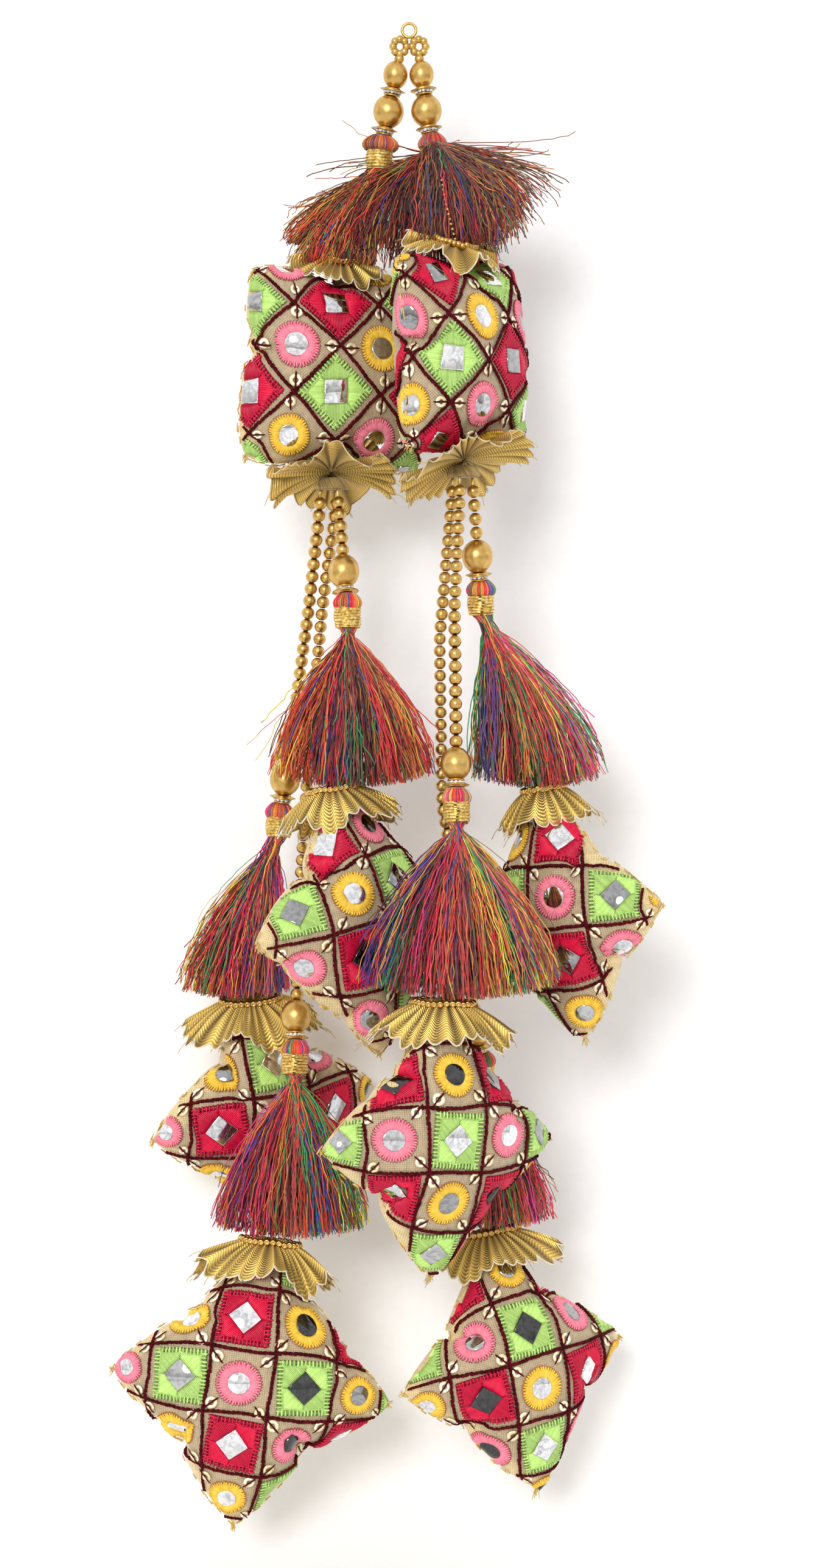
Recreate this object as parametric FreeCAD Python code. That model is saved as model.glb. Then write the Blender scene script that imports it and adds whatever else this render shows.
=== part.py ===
"""A pair of joined hanging ornaments: bead strings, thread tassels, pleated rosettes and stuffed cushions.

Millimetres, +Z up, +X to the right and -Y to the front. The origin is the centre of the hanging ring.
Two halves hang from the ring. Each half is a hanger (bead loop, large beads, tassel), an upper cushion
between two rosettes, and three bead strings that end in a tassel, a rosette and a lower cushion.
"""
import FreeCAD
import Part
import math
import os

Vector = FreeCAD.Vector
UP = Vector(0, 0, 1)
BACK = Vector(0, 1, 0)

# ---- Driving sizes ----
fit = 0.3                      # clearance between two pieces that hang on one thread
thread = 0.9                   # thickness of the hanging thread where it shows

ring_radius = 2.2              # hanging ring, to the middle of its wire
ring_wire = 1.2                # thickness of the ring's wire

loop_bead = 1.6                # small beads of the top loops
loop_half_width = 2.2
loop_half_height = 2.4

small_bead = 4.0               # beads of the strings, diameter and length
small_bead_waist = 0.55        # flat end of a small bead, as a share of its diameter
large_bead = 10.4
egg_bead_length = 8.8
egg_bead_width = 8.6
lead_bead = 1.8                # single bead between the loop and the egg bead
rondelle_width = 8.0
rondelle_length = 2.6
rondelle_rim = 0.6             # thickness of each metal rim
rondelle_groove = 0.6          # how deep the stones sit below the rims

head_width = 9.6               # folded thread head of a tassel
head_length = 4.4
neck_width = 8.0               # bound thread under the head
binding_width = 9.6
binding_length = 6.8
pit_depth = 10.0               # hollow under a skirt, where the next piece's thread hangs
pit_share = 0.62               # mouth of that hollow, as a share of the skirt

rosette_pleats = 11
rosette_ribbon = 1.5           # thickness of the gathered ribbon
rosette_hub = 2.4              # radius of the gathered middle
rosette_wave = 1.9             # height of a pleat at the rim, each way
rosette_depth_share = 0.52     # a rosette under a tassel is squeezed front to back
rosette_bead = 2.9
rosette_bead_count = 8

cap_droop = 3.0                # how far a cap rosette's rim hangs below its middle
base_droop = 2.0
mount_post = 2.0               # gathered cloth between a cushion's side and a rosette, radius
cap_lift = 7.0                 # length of that gather above an upper cushion
base_lift = 5.5                # and below it

cushion_crown = 16.0           # half the thickness of a stuffed cushion
cushion_pull = 0.09            # how far its sides pull in, as a share


knot_radius = 5.5              # gathered knot under a base rosette, which carries the strings
knot_length = 3.6
knot_drop = 0.9

# Facets: what repeats has few of them
small_bead_sides = 5
large_bead_sides = 10
thread_bundle_sides = 12


# ---- Basic forms ----
def facet(corners):
    return Part.Face(Part.makePolygon(corners + [corners[0]]))


def wall(a, b, c, d):
    """One flat facet, or two where the four corners don't lie in one plane."""
    normal = (b - a).cross(c - a)
    if abs(normal.dot(d - a)) < 1e-7 * max(normal.Length, 1e-9):
        return [facet([a, b, c, d])]
    return [facet([a, b, c]), facet([a, c, d])]


def solid_through(rings, closed=False):
    """The closed solid whose walls join each ring of points to the next one."""
    faces = []
    if not closed:
        faces += [facet(rings[0]), facet(rings[-1])]
    following = rings[1:] + ([rings[0]] if closed else [])
    for ring, after in zip(rings, following):
        for near in range(len(ring)):
            far = (near + 1) % len(ring)
            faces += wall(ring[near], ring[far], after[far], after[near])
    shell = Part.makeShell(faces)
    shell.sewShape()
    solid = Part.makeSolid(shell)
    if solid.Volume < 0:
        solid.reverse()
    return solid


def oval(centre, across, along, count):
    """Points round an ellipse with the two vectors as its half axes."""
    points = []
    for step in range(count):
        angle = 2 * math.pi * step / count
        points.append(centre + across * math.cos(angle) + along * math.sin(angle))
    return points


def turned(profile, sides):
    """A bead-like solid along -Z from the origin: the profile is a list of (depth, radius)."""
    rings = [oval(Vector(0, 0, -depth), Vector(radius, 0, 0), Vector(0, radius, 0), sides)
             for depth, radius in profile]
    return solid_through(rings)


def threaded(shape, start, direction):
    """A copy of a turned piece, with its top at start and its thread along direction."""
    copy = shape.copy()
    copy.Placement = FreeCAD.Placement(start, FreeCAD.Rotation(Vector(0, 0, -1), direction))
    return copy


def unit(vector):
    return vector * (1.0 / vector.Length)


def save(name, *solids):
    shape = solids[0] if len(solids) == 1 else Part.makeCompound(list(solids))
    shape.exportStep("parts/" + name + ".step")
    print(name, "solids", len(shape.Solids), "volume", round(sum(s.Volume for s in shape.Solids), 2),
          "valid", all(s.isValid() for s in shape.Solids))


# ---- Beads ----
def round_profile(length, width, bands=5):
    """Profile of a ball with small flat ends, cut where the thread hole is."""
    first = 0.16 * math.pi
    profile = []
    for step in range(bands + 1):
        angle = first + (math.pi - 2 * first) * step / bands
        depth = length / 2 * (1 - math.cos(angle) / math.cos(first))
        profile.append((depth, width / 2 * math.sin(angle)))
    return profile


def egg_profile(length, width):
    """An egg with its narrow end at the top."""
    profile = []
    for depth, radius in round_profile(length, width):
        share = depth / length
        profile.append((depth, radius * (0.86 + 0.2 * share)))
    return profile


def bead_profile(diameter):
    waist = diameter / 2 * small_bead_waist
    return [(0, waist), (diameter / 2, diameter / 2), (diameter, waist)]


def rondelle_profile():
    rim = rondelle_width / 2
    groove = rim - rondelle_groove
    inner = rondelle_length - rondelle_rim
    return [(0, rim), (rondelle_rim, rim), (rondelle_rim + 0.1, groove),
            (inner - 0.1, groove), (inner, rim), (rondelle_length, rim)]


def run_length(route):
    return sum((after - before).Length for before, after in zip(route, route[1:]))


def point_on(route, distance):
    for before, after in zip(route, route[1:]):
        run = (after - before).Length
        if distance <= run:
            return before + (after - before) * (distance / run)
        distance -= run
    return route[-1]


def bead_string(route, diameter):
    """Beads threaded along the route, spaced so that they fill it from end to end."""
    length = run_length(route)
    count = max(1, int(length / diameter))
    pitch = length / count
    bead = turned(bead_profile(diameter * 0.985), small_bead_sides)
    beads = []
    for step in range(count):
        start = point_on(route, pitch * step)
        end = point_on(route, pitch * (step + 1))
        beads.append(threaded(bead, start, unit(end - start)))
    return beads


# ---- Tassel ----
def tassel(start, direction, rim, half_width, half_depth):
    """A thread bundle: folded head, bound neck, and a flared skirt that is hollow at the bottom."""
    side = unit(BACK.cross(direction)) * -1
    front = unit(direction.cross(side)) * -1
    sides = thread_bundle_sides

    def neck_ring(depth, width):
        return oval(start + direction * depth, side * (width / 2), front * (width / 2), sides)

    neck_end = head_length + binding_length
    rings = [neck_ring(0, 0.55 * head_width), neck_ring(0.3 * head_length, 0.96 * head_width),
             neck_ring(0.8 * head_length, head_width), neck_ring(head_length, neck_width),
             neck_ring(neck_end, neck_width)]
    neck = start + direction * neck_end
    for share, spread in ((0.16, 0.3), (0.45, 0.62), (0.78, 0.88), (1.0, 1.0)):
        centre = neck + (rim - neck) * share
        wide = neck_width / 2 + (half_width - neck_width / 2) * spread
        deep = neck_width / 2 + (half_depth - neck_width / 2) * spread
        lean = side * (1 - share) + Vector(1, 0, 0) * share
        ring = oval(centre, unit(lean) * wide, BACK * deep, sides)
        rings.append([centre + (point - centre) * (1 - 0.07 * spread * (step % 2))
                      for step, point in enumerate(ring)])
    lip = rim + UP * 1.5
    rings.append(oval(lip, Vector(half_width * pit_share, 0, 0), BACK * (half_depth * pit_share), sides))
    rings.append(oval(rim + UP * pit_depth, Vector(1.2, 0, 0), BACK * 1.2, sides))
    return solid_through(rings)


def binding(start, direction):
    """A wound band of gold thread round the neck of a tassel."""
    side = unit(BACK.cross(direction)) * -1
    front = unit(direction.cross(side)) * -1
    rings = []
    for share, width in ((0, binding_width), (1, binding_width), (1, neck_width), (0, neck_width)):
        centre = start + direction * (head_length + binding_length * share)
        rings.append(oval(centre, side * (width / 2), front * (width / 2), thread_bundle_sides))
    return solid_through(rings, closed=True)


# ---- Rosette ----
def rosette(centre, across, along, droop):
    """A pleated ribbon disc gathered at its middle. Across and along are its half axes."""
    normal = unit(across.cross(along))
    if normal.z < 0:
        normal = normal * -1
    count = 2 * rosette_pleats
    hub = rosette_hub / across.Length

    def rim(drop, wave):
        points = oval(centre, across, along, count)
        ruffled = []
        for step, point in enumerate(points):
            swing = 1 if step % 2 else -1
            ruffled.append(centre + (point - centre) * (1 - 0.05 * swing)
                           - normal * (drop + wave * swing))
        return ruffled

    top = oval(centre, across * hub, along * hub, count)
    middle = oval(centre - normal * (droop * 0.3), across * 0.52, along * 0.52, count)
    under = oval(centre - normal * (rosette_ribbon + 1), across * hub, along * hub, count)
    return solid_through([top, middle, rim(droop, rosette_wave),
                          rim(droop + rosette_ribbon, rosette_wave), under])


def rosette_beads(centre, across, along, droop):
    """A ring of beads that lies on the rosette, where the tassel ends."""
    normal = unit(across.cross(along))
    if normal.z < 0:
        normal = normal * -1
    share = 0.4
    hub = rosette_hub / across.Length
    lower = droop * 0.3 * (share - hub) / (0.52 - hub)
    bead = turned([(0, 0.5), (rosette_bead / 2, rosette_bead / 2), (rosette_bead, 0.5)], 4)
    beads = []
    for point in oval(centre - normal * (lower - 0.1), across * share, along * share, rosette_bead_count):
        beads.append(threaded(bead, point + normal * rosette_bead, normal * -1))
    return beads


# ---- Cushion ----
def cushion(centre, first, second):
    """A stuffed square cushion. The two vectors run from its middle to two neighbouring corners."""
    normal = unit(first.cross(second))
    sides = 16
    rings = []
    for height in (-0.95, -0.62, 0, 0.62, 0.95):
        flat = height * height
        ring = []
        for step in range(sides):
            angle = 2 * math.pi * step / sides
            cross = math.sin(2 * (angle - math.pi / 4)) ** 2 / 4
            if cross < 1e-9:
                reach = 1 - flat
            else:
                reach = (1 - math.sqrt(1 - 4 * cross * (1 - flat))) / (2 * cross)
            radius = math.sqrt(reach / 2) * (1 - cushion_pull * math.sin(2 * angle) ** 2)
            ring.append(centre + first * (radius * math.cos(angle))
                        + second * (radius * math.sin(angle))
                        + normal * (cushion_crown * height))
        rings.append(ring)
    return solid_through(rings)


def square_to(one, other, reach):
    """Two perpendicular vectors of one length: the first along one, the second near the other."""
    first = unit(one)
    second = unit(other - first * other.dot(first))
    return first * reach, second * reach


def thread_between(start, end):
    run = end - start
    return threaded(turned([(0, thread / 2), (run.Length, thread / 2)], 6), start, unit(run))


os.makedirs("parts", exist_ok=True)

# ---- Hanging ring ----
ring_turns = 12
wire = ring_wire / 2
ring_sections = []
for step in range(ring_turns):
    angle = 2 * math.pi * step / ring_turns
    outward = Vector(math.cos(angle), 0, math.sin(angle))
    ring_sections.append(oval(outward * ring_radius, outward * wire, BACK * wire, 6))
save("hanging_ring", solid_through(ring_sections, closed=True))


# ---- The two halves: hanger, upper cushion and its two rosettes ----
def hanger(side, hand, lean, rim, half_width, half_depth):
    """Bead loop, large beads and the hanger tassel, stacked down a leaning thread."""
    loop_x = hand * (loop_half_width + loop_bead / 2 + fit / 2)
    nearest = ring_radius + ring_wire / 2 + 0.75 * loop_bead + fit
    loop_top = -math.sqrt(nearest ** 2 - loop_x ** 2)
    loop_centre = Vector(loop_x, 0, loop_top - loop_half_height)
    loop_count = int(math.pi * (loop_half_width + loop_half_height) / (loop_bead * 1.04))
    bead = turned(bead_profile(loop_bead), small_bead_sides)
    loop = []
    for point in oval(loop_centre, UP * loop_half_height, Vector(loop_half_width, 0, 0), loop_count):
        loop.append(threaded(bead, point + UP * (loop_bead / 2), Vector(0, 0, -1)))
    start = Vector(loop_x, 0, loop_top - 2 * loop_half_height - loop_bead / 2)
    loop.append(threaded(turned(bead_profile(lead_bead), small_bead_sides), start, lean))
    save(side + "_loop_beads", *loop)
    start = start + lean * lead_bead
    egg = threaded(turned(egg_profile(egg_bead_length, egg_bead_width), large_bead_sides), start, lean)
    start = start + lean * egg_bead_length
    rondelle = turned(rondelle_profile(), large_bead_sides)
    upper_rondelle = threaded(rondelle, start, lean)
    start = start + lean * rondelle_length
    ball = threaded(turned(round_profile(large_bead, large_bead), large_bead_sides), start, lean)
    start = start + lean * large_bead
    lower_rondelle = threaded(rondelle, start, lean)
    start = start + lean * rondelle_length
    save(side + "_hanger_large_beads", egg, ball)
    save(side + "_hanger_rondelles", upper_rondelle, lower_rondelle)
    save(side + "_hanger_tassel", tassel(start, lean, rim, half_width, half_depth))
    save(side + "_hanger_binding", binding(start, lean))
    return rim + UP * pit_depth


def upper_set(side, hang_point, cap_centre, cap_half_width, right, up, reach, base_half_width):
    """Cap rosette, upper cushion hung by the middle of a side, and the base rosette with its knot."""
    print("hinge", side + "_upper", *(round(value, 3) for value in hang_point))
    to_top, to_side = square_to(up, right, reach)
    front = unit(to_side.cross(to_top))
    if front.y > 0:
        front = front * -1
    cap_across = unit(to_side) * cap_half_width
    cap_along = unit(front - UP * 0.4) * (cap_half_width * 0.85)
    post = turned([(0, rosette_hub), (cap_lift - fit, mount_post)], 6)
    save(side + "_cap_rosette", rosette(cap_centre, cap_across, cap_along, cap_droop),
         thread_between(hang_point - UP * fit, cap_centre),
         threaded(post, cap_centre - UP * (rosette_ribbon + 1), UP * -1),
         *rosette_beads(cap_centre, cap_across, cap_along, cap_droop))
    half_height = to_top * (1 - cushion_pull)
    middle = cap_centre - UP * (rosette_ribbon + 1 + cap_lift) - half_height
    save(side + "_upper_cushion", cushion(middle, to_top + to_side, to_top - to_side))
    base_top = middle - half_height
    base_centre = base_top - UP * base_lift
    base_across = unit(to_side) * base_half_width
    base_along = unit(front + UP * 0.45) * (base_half_width * 0.9)
    base_post = turned([(0, mount_post), (base_lift - fit, rosette_hub)], 6)
    knot_top = base_centre - UP * (rosette_ribbon + knot_drop)
    save(side + "_base_rosette", rosette(base_centre, base_across, base_along, base_droop),
         threaded(base_post, base_top - UP * fit, UP * -1),
         threaded(turned([(0, 0.7 * knot_radius), (knot_length, knot_radius)], 12), knot_top, UP * -1))
    return knot_top - UP * knot_length


left_rim = Vector(-24.5, 5.5, -67.5)
right_rim = Vector(11, -10, -64)
left_hook = hanger("left", -1, unit(Vector(-0.2, 0.05, -1)), left_rim, 16, 8)
right_hook = hanger("right", 1, unit(Vector(0.14, -0.09, -1)), right_rim, 36, 9)
left_tie = upper_set("left", left_hook, Vector(-23.0, 4.5, -74), 16.5,
                     Vector(28, 12, -4), Vector(1.5, 0, 31), 30.5, 21.0)
right_tie = upper_set("right", right_hook, Vector(15, -11, -71), 18.0,
                      Vector(19, 26, -2), Vector(-1.5, 0, 31), 30.5, 23.5)


# ---- Strings: beads, large bead, rondelle, tassel, then the drop with its rosette and cushion ----
def string(name, tie, route_points, rim, half_width, half_depth):
    """The piece that swings as one from the base rosette. Returns where the drop hangs from it."""
    top = tie + Vector(*route_points[0]) - UP * fit
    lead = top - UP * 2.5
    print("hinge", name + "_string", *(round(value, 3) for value in top))
    route = [lead] + [Vector(*point) for point in route_points[1:]]
    save(name + "_beads", thread_between(top, lead), *bead_string(route, small_bead))
    down = unit(route[-1] - route[-2])
    start = route[-1]
    save(name + "_large_bead",
         threaded(turned(round_profile(large_bead, large_bead), large_bead_sides), start, down))
    start = start + down * large_bead
    save(name + "_rondelle", threaded(turned(rondelle_profile(), large_bead_sides), start, down))
    start = start + down * rondelle_length
    save(name + "_tassel", tassel(start, down, Vector(*rim), half_width, half_depth))
    save(name + "_binding", binding(start, down))
    return Vector(*rim) + UP * pit_depth


def drop(name, hang_point, centre, half_width, droop, right, up, reach):
    """The rosette under a tassel and the corner-hung cushion, on one thread."""
    print("hinge", name + "_drop", *(round(value, 3) for value in hang_point))
    middle = Vector(*centre)
    to_top, to_side = square_to(Vector(*up), Vector(*right), reach)
    axis = unit(to_top)
    across = unit(BACK.cross(axis)) * half_width
    along = unit(axis.cross(across)) * (half_width * rosette_depth_share)
    save(name + "_rosette", rosette(middle, across, along, droop),
         thread_between(hang_point - UP * fit, middle),
         *rosette_beads(middle, across, along, droop))
    under = middle - axis * (rosette_ribbon + 1 + fit)
    save(name + "_cushion", cushion(under - to_top, to_side, to_top))


tied = string("left_short", left_tie, [(2.2, -3, 0), (-21.8, -4, -173)], (-19, -7, -243), 26, 10.5)
drop("left_short", tied, (-25, -8, -248), 20, 11, (33, 31, 12), (-7, 0, 40), 43)
tied = string("left_middle", left_tie, [(-3.6, 0, 0), (-33.5, 12, -190), (-40.6, 19, -241)],
              (-57.5, 20, -313), 17.5, 10)
drop("left_middle", tied, (-53, 22, -318), 23, 11, (37.5, 20, -4.5), (-3, -14, 36), 40)
tied = string("left_long", left_tie, [(1.6, 3.2, 0), (-29, 11, -190), (-34, 13.5, -246), (-36.5, 11.5, -285),
                                      (-37.2, 4, -319)], (-39, 1, -391), 24, 9.5)
drop("left_long", tied, (-45.5, 1, -397), 23, 11, (45.3, 3, -5), (6, 0, 45), 46)
tied = string("right_short", right_tie, [(3, 1.5, 0), (22, -6, -168)], (41.5, -3, -243), 20, 10)
drop("right_short", tied, (44, -2, -248), 16.5, 11, (28, -26, 10.5), (-6, 0, 36), 41)
tied = string("right_middle", right_tie, [(-1.3, -3, 0), (14.5, -17, -190), (15, -26, -236)],
              (16.5, -32, -311), 32, 11)
drop("right_middle", tied, (11, -33, -316.5), 23, 11, (35.5, 22, 9), (2, -4, 43), 44)
tied = string("right_long", right_tie, [(-3.5, 3, 0), (9.8, -5, -200), (10.6, -3, -254), (17, 3, -286),
                                        (21.6, 12, -324)], (27.5, 14, -389), 18, 9.5)
drop("right_long", tied, (26, 13, -395), 23, 11, (35.5, 21, 6), (-7.5, 0, 40.5), 43)
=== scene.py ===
"""A pair of hanging latkan ornaments: mirror-work cushions, pleated rosettes, thread tassels and beads."""
import math

import bpy
import numpy as np
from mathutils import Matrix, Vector


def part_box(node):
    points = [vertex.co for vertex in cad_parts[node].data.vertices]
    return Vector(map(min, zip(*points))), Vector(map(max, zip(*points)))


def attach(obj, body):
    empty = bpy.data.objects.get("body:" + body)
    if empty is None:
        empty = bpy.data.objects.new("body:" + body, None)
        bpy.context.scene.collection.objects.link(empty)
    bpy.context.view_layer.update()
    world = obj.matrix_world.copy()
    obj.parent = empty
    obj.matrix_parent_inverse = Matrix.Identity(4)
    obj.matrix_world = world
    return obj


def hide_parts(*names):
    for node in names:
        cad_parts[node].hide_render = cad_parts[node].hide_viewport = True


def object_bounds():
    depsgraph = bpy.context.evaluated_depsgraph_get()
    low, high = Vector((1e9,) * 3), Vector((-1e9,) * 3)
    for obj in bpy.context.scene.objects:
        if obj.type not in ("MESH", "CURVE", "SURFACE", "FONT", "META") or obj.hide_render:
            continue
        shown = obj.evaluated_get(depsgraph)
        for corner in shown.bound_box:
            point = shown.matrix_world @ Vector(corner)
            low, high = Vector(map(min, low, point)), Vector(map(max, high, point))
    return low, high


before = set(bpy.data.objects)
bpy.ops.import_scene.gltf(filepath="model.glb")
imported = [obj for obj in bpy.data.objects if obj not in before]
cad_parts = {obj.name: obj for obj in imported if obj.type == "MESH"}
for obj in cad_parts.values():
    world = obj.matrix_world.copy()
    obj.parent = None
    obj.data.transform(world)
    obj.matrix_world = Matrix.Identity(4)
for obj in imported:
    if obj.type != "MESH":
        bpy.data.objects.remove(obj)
CAD_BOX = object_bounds()

bl_info = {
    "name": "Latkan Pair",
    "version": (1, 0, 0),
    "blender": (4, 5, 0),
    "location": "3D View > Sidebar > Latkan",
    "description": "Dresses a pair of hanging latkan ornaments with threads, pleats, beads and mirror work",
    "category": "Add Mesh",
}

STRANDS = ("left_short", "left_middle", "left_long", "right_short", "right_middle", "right_long")


# ---- Colour, nodes and materials ----
def srgb(code):
    """A hex colour such as #C9A040 as linear red, green, blue and a full alpha."""
    parts = [int(code[place:place + 2], 16) / 255 for place in (1, 3, 5)]
    return tuple(part / 12.92 if part <= 0.04045 else ((part + 0.055) / 1.055) ** 2.4
                 for part in parts) + (1.0,)


def add_node(tree, kind, inputs=None, **settings):
    """Adds a node. Inputs maps a socket's name or number to a value or to another node's output."""
    node = tree.nodes.new(kind)
    for name, value in settings.items():
        setattr(node, name, value)
    for name, value in (inputs or {}).items():
        if isinstance(value, bpy.types.NodeSocket):
            tree.links.new(value, node.inputs[name])
        else:
            node.inputs[name].default_value = value
    return node


def noise(tree, place, scale, detail):
    """A noise texture on the object's own coordinates."""
    return add_node(tree, "ShaderNodeTexNoise",
                    {"Vector": place.outputs["Object"], "Scale": scale, "Detail": detail})


def new_material(name, **sockets):
    """A material with one Principled shader, and the shader and tree to build on."""
    material = bpy.data.materials.new(name)
    material.use_nodes = True
    tree = material.node_tree
    shader = tree.nodes["Principled BSDF"]
    for socket, value in sockets.items():
        shader.inputs[socket.replace("_", " ")].default_value = value
    return material, tree, shader


def set_ramp(node, stops):
    """Sets a colour ramp's stops from (place, colour) pairs."""
    ramp = node.color_ramp
    while len(ramp.elements) > len(stops):
        ramp.elements.remove(ramp.elements[-1])
    while len(ramp.elements) < len(stops):
        ramp.elements.new(1.0)
    for element, (place, colour) in zip(ramp.elements, stops):
        element.position = place
        element.color = colour


# ---- Settings that a user would change ----
class LatkanSizes(bpy.types.PropertyGroup):
    """Sizes of the soft and fine parts. What the frame fixes isn't repeated here."""

    thread_width: bpy.props.FloatProperty(
        name="Tassel thread", description="Width of one twisted tassel thread",
        default=0.00046, min=0.0001, unit="LENGTH")
    thread_count: bpy.props.IntProperty(
        name="Threads in a tassel", description="How many threads hang from one neck",
        default=1150, min=50, max=4000)
    motif_pitch: bpy.props.FloatProperty(
        name="Motif pitch", description="Spacing of the chain-stitched lattice on a cushion",
        default=0.0192, min=0.008, unit="LENGTH")
    square_side: bpy.props.FloatProperty(
        name="Satin square", description="Side of a satin-stitched square",
        default=0.0164, min=0.006, unit="LENGTH")
    ring_radius: bpy.props.FloatProperty(
        name="Satin ring", description="Outer radius of a satin-stitched ring",
        default=0.0068, min=0.003, unit="LENGTH")
    mirror_radius: bpy.props.FloatProperty(
        name="Round mirror", description="Radius of a round mirror",
        default=0.0035, min=0.001, unit="LENGTH")
    sequin_radius: bpy.props.FloatProperty(
        name="Sequin", description="Radius of a flat sequin",
        default=0.0018, min=0.0005, unit="LENGTH")
    ribbon_thickness: bpy.props.FloatProperty(
        name="Ribbon thickness", description="Thickness of the pleated ribbon",
        default=0.00035, min=0.0001, unit="LENGTH")


class LatkanColours(bpy.types.PropertyGroup):
    """Colours of the threads, cloths and metals."""

    gilt: bpy.props.FloatVectorProperty(
        name="Gilt beads", description="Plated beads", subtype="COLOR", size=4, default=srgb("#D4AC62"))
    crimson: bpy.props.FloatVectorProperty(
        name="Crimson satin", description="Crimson squares", subtype="COLOR", size=4, default=srgb("#D40A3E"))
    lime: bpy.props.FloatVectorProperty(
        name="Lime satin", description="Lime green squares", subtype="COLOR", size=4, default=srgb("#C0E480"))
    pink: bpy.props.FloatVectorProperty(
        name="Pink satin", description="Pink rings", subtype="COLOR", size=4, default=srgb("#F88CA0"))
    yellow: bpy.props.FloatVectorProperty(
        name="Yellow satin", description="Yellow rings", subtype="COLOR", size=4, default=srgb("#F8CC48"))
    maroon: bpy.props.FloatVectorProperty(
        name="Maroon line", description="Chain-stitched lattice", subtype="COLOR", size=4,
        default=srgb("#4E0A10"))
    net: bpy.props.FloatVectorProperty(
        name="Tissue net", description="Woven front of a cushion", subtype="COLOR", size=4,
        default=srgb("#BCA683"))
    tissue: bpy.props.FloatVectorProperty(
        name="Gold tissue", description="Seam band and back of a cushion", subtype="COLOR", size=4,
        default=srgb("#E6CC94"))
    ribbon: bpy.props.FloatVectorProperty(
        name="Lurex ribbon", description="Pleated rosettes", subtype="COLOR", size=4, default=srgb("#D8B45C"))


MATERIALS = {}


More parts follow.
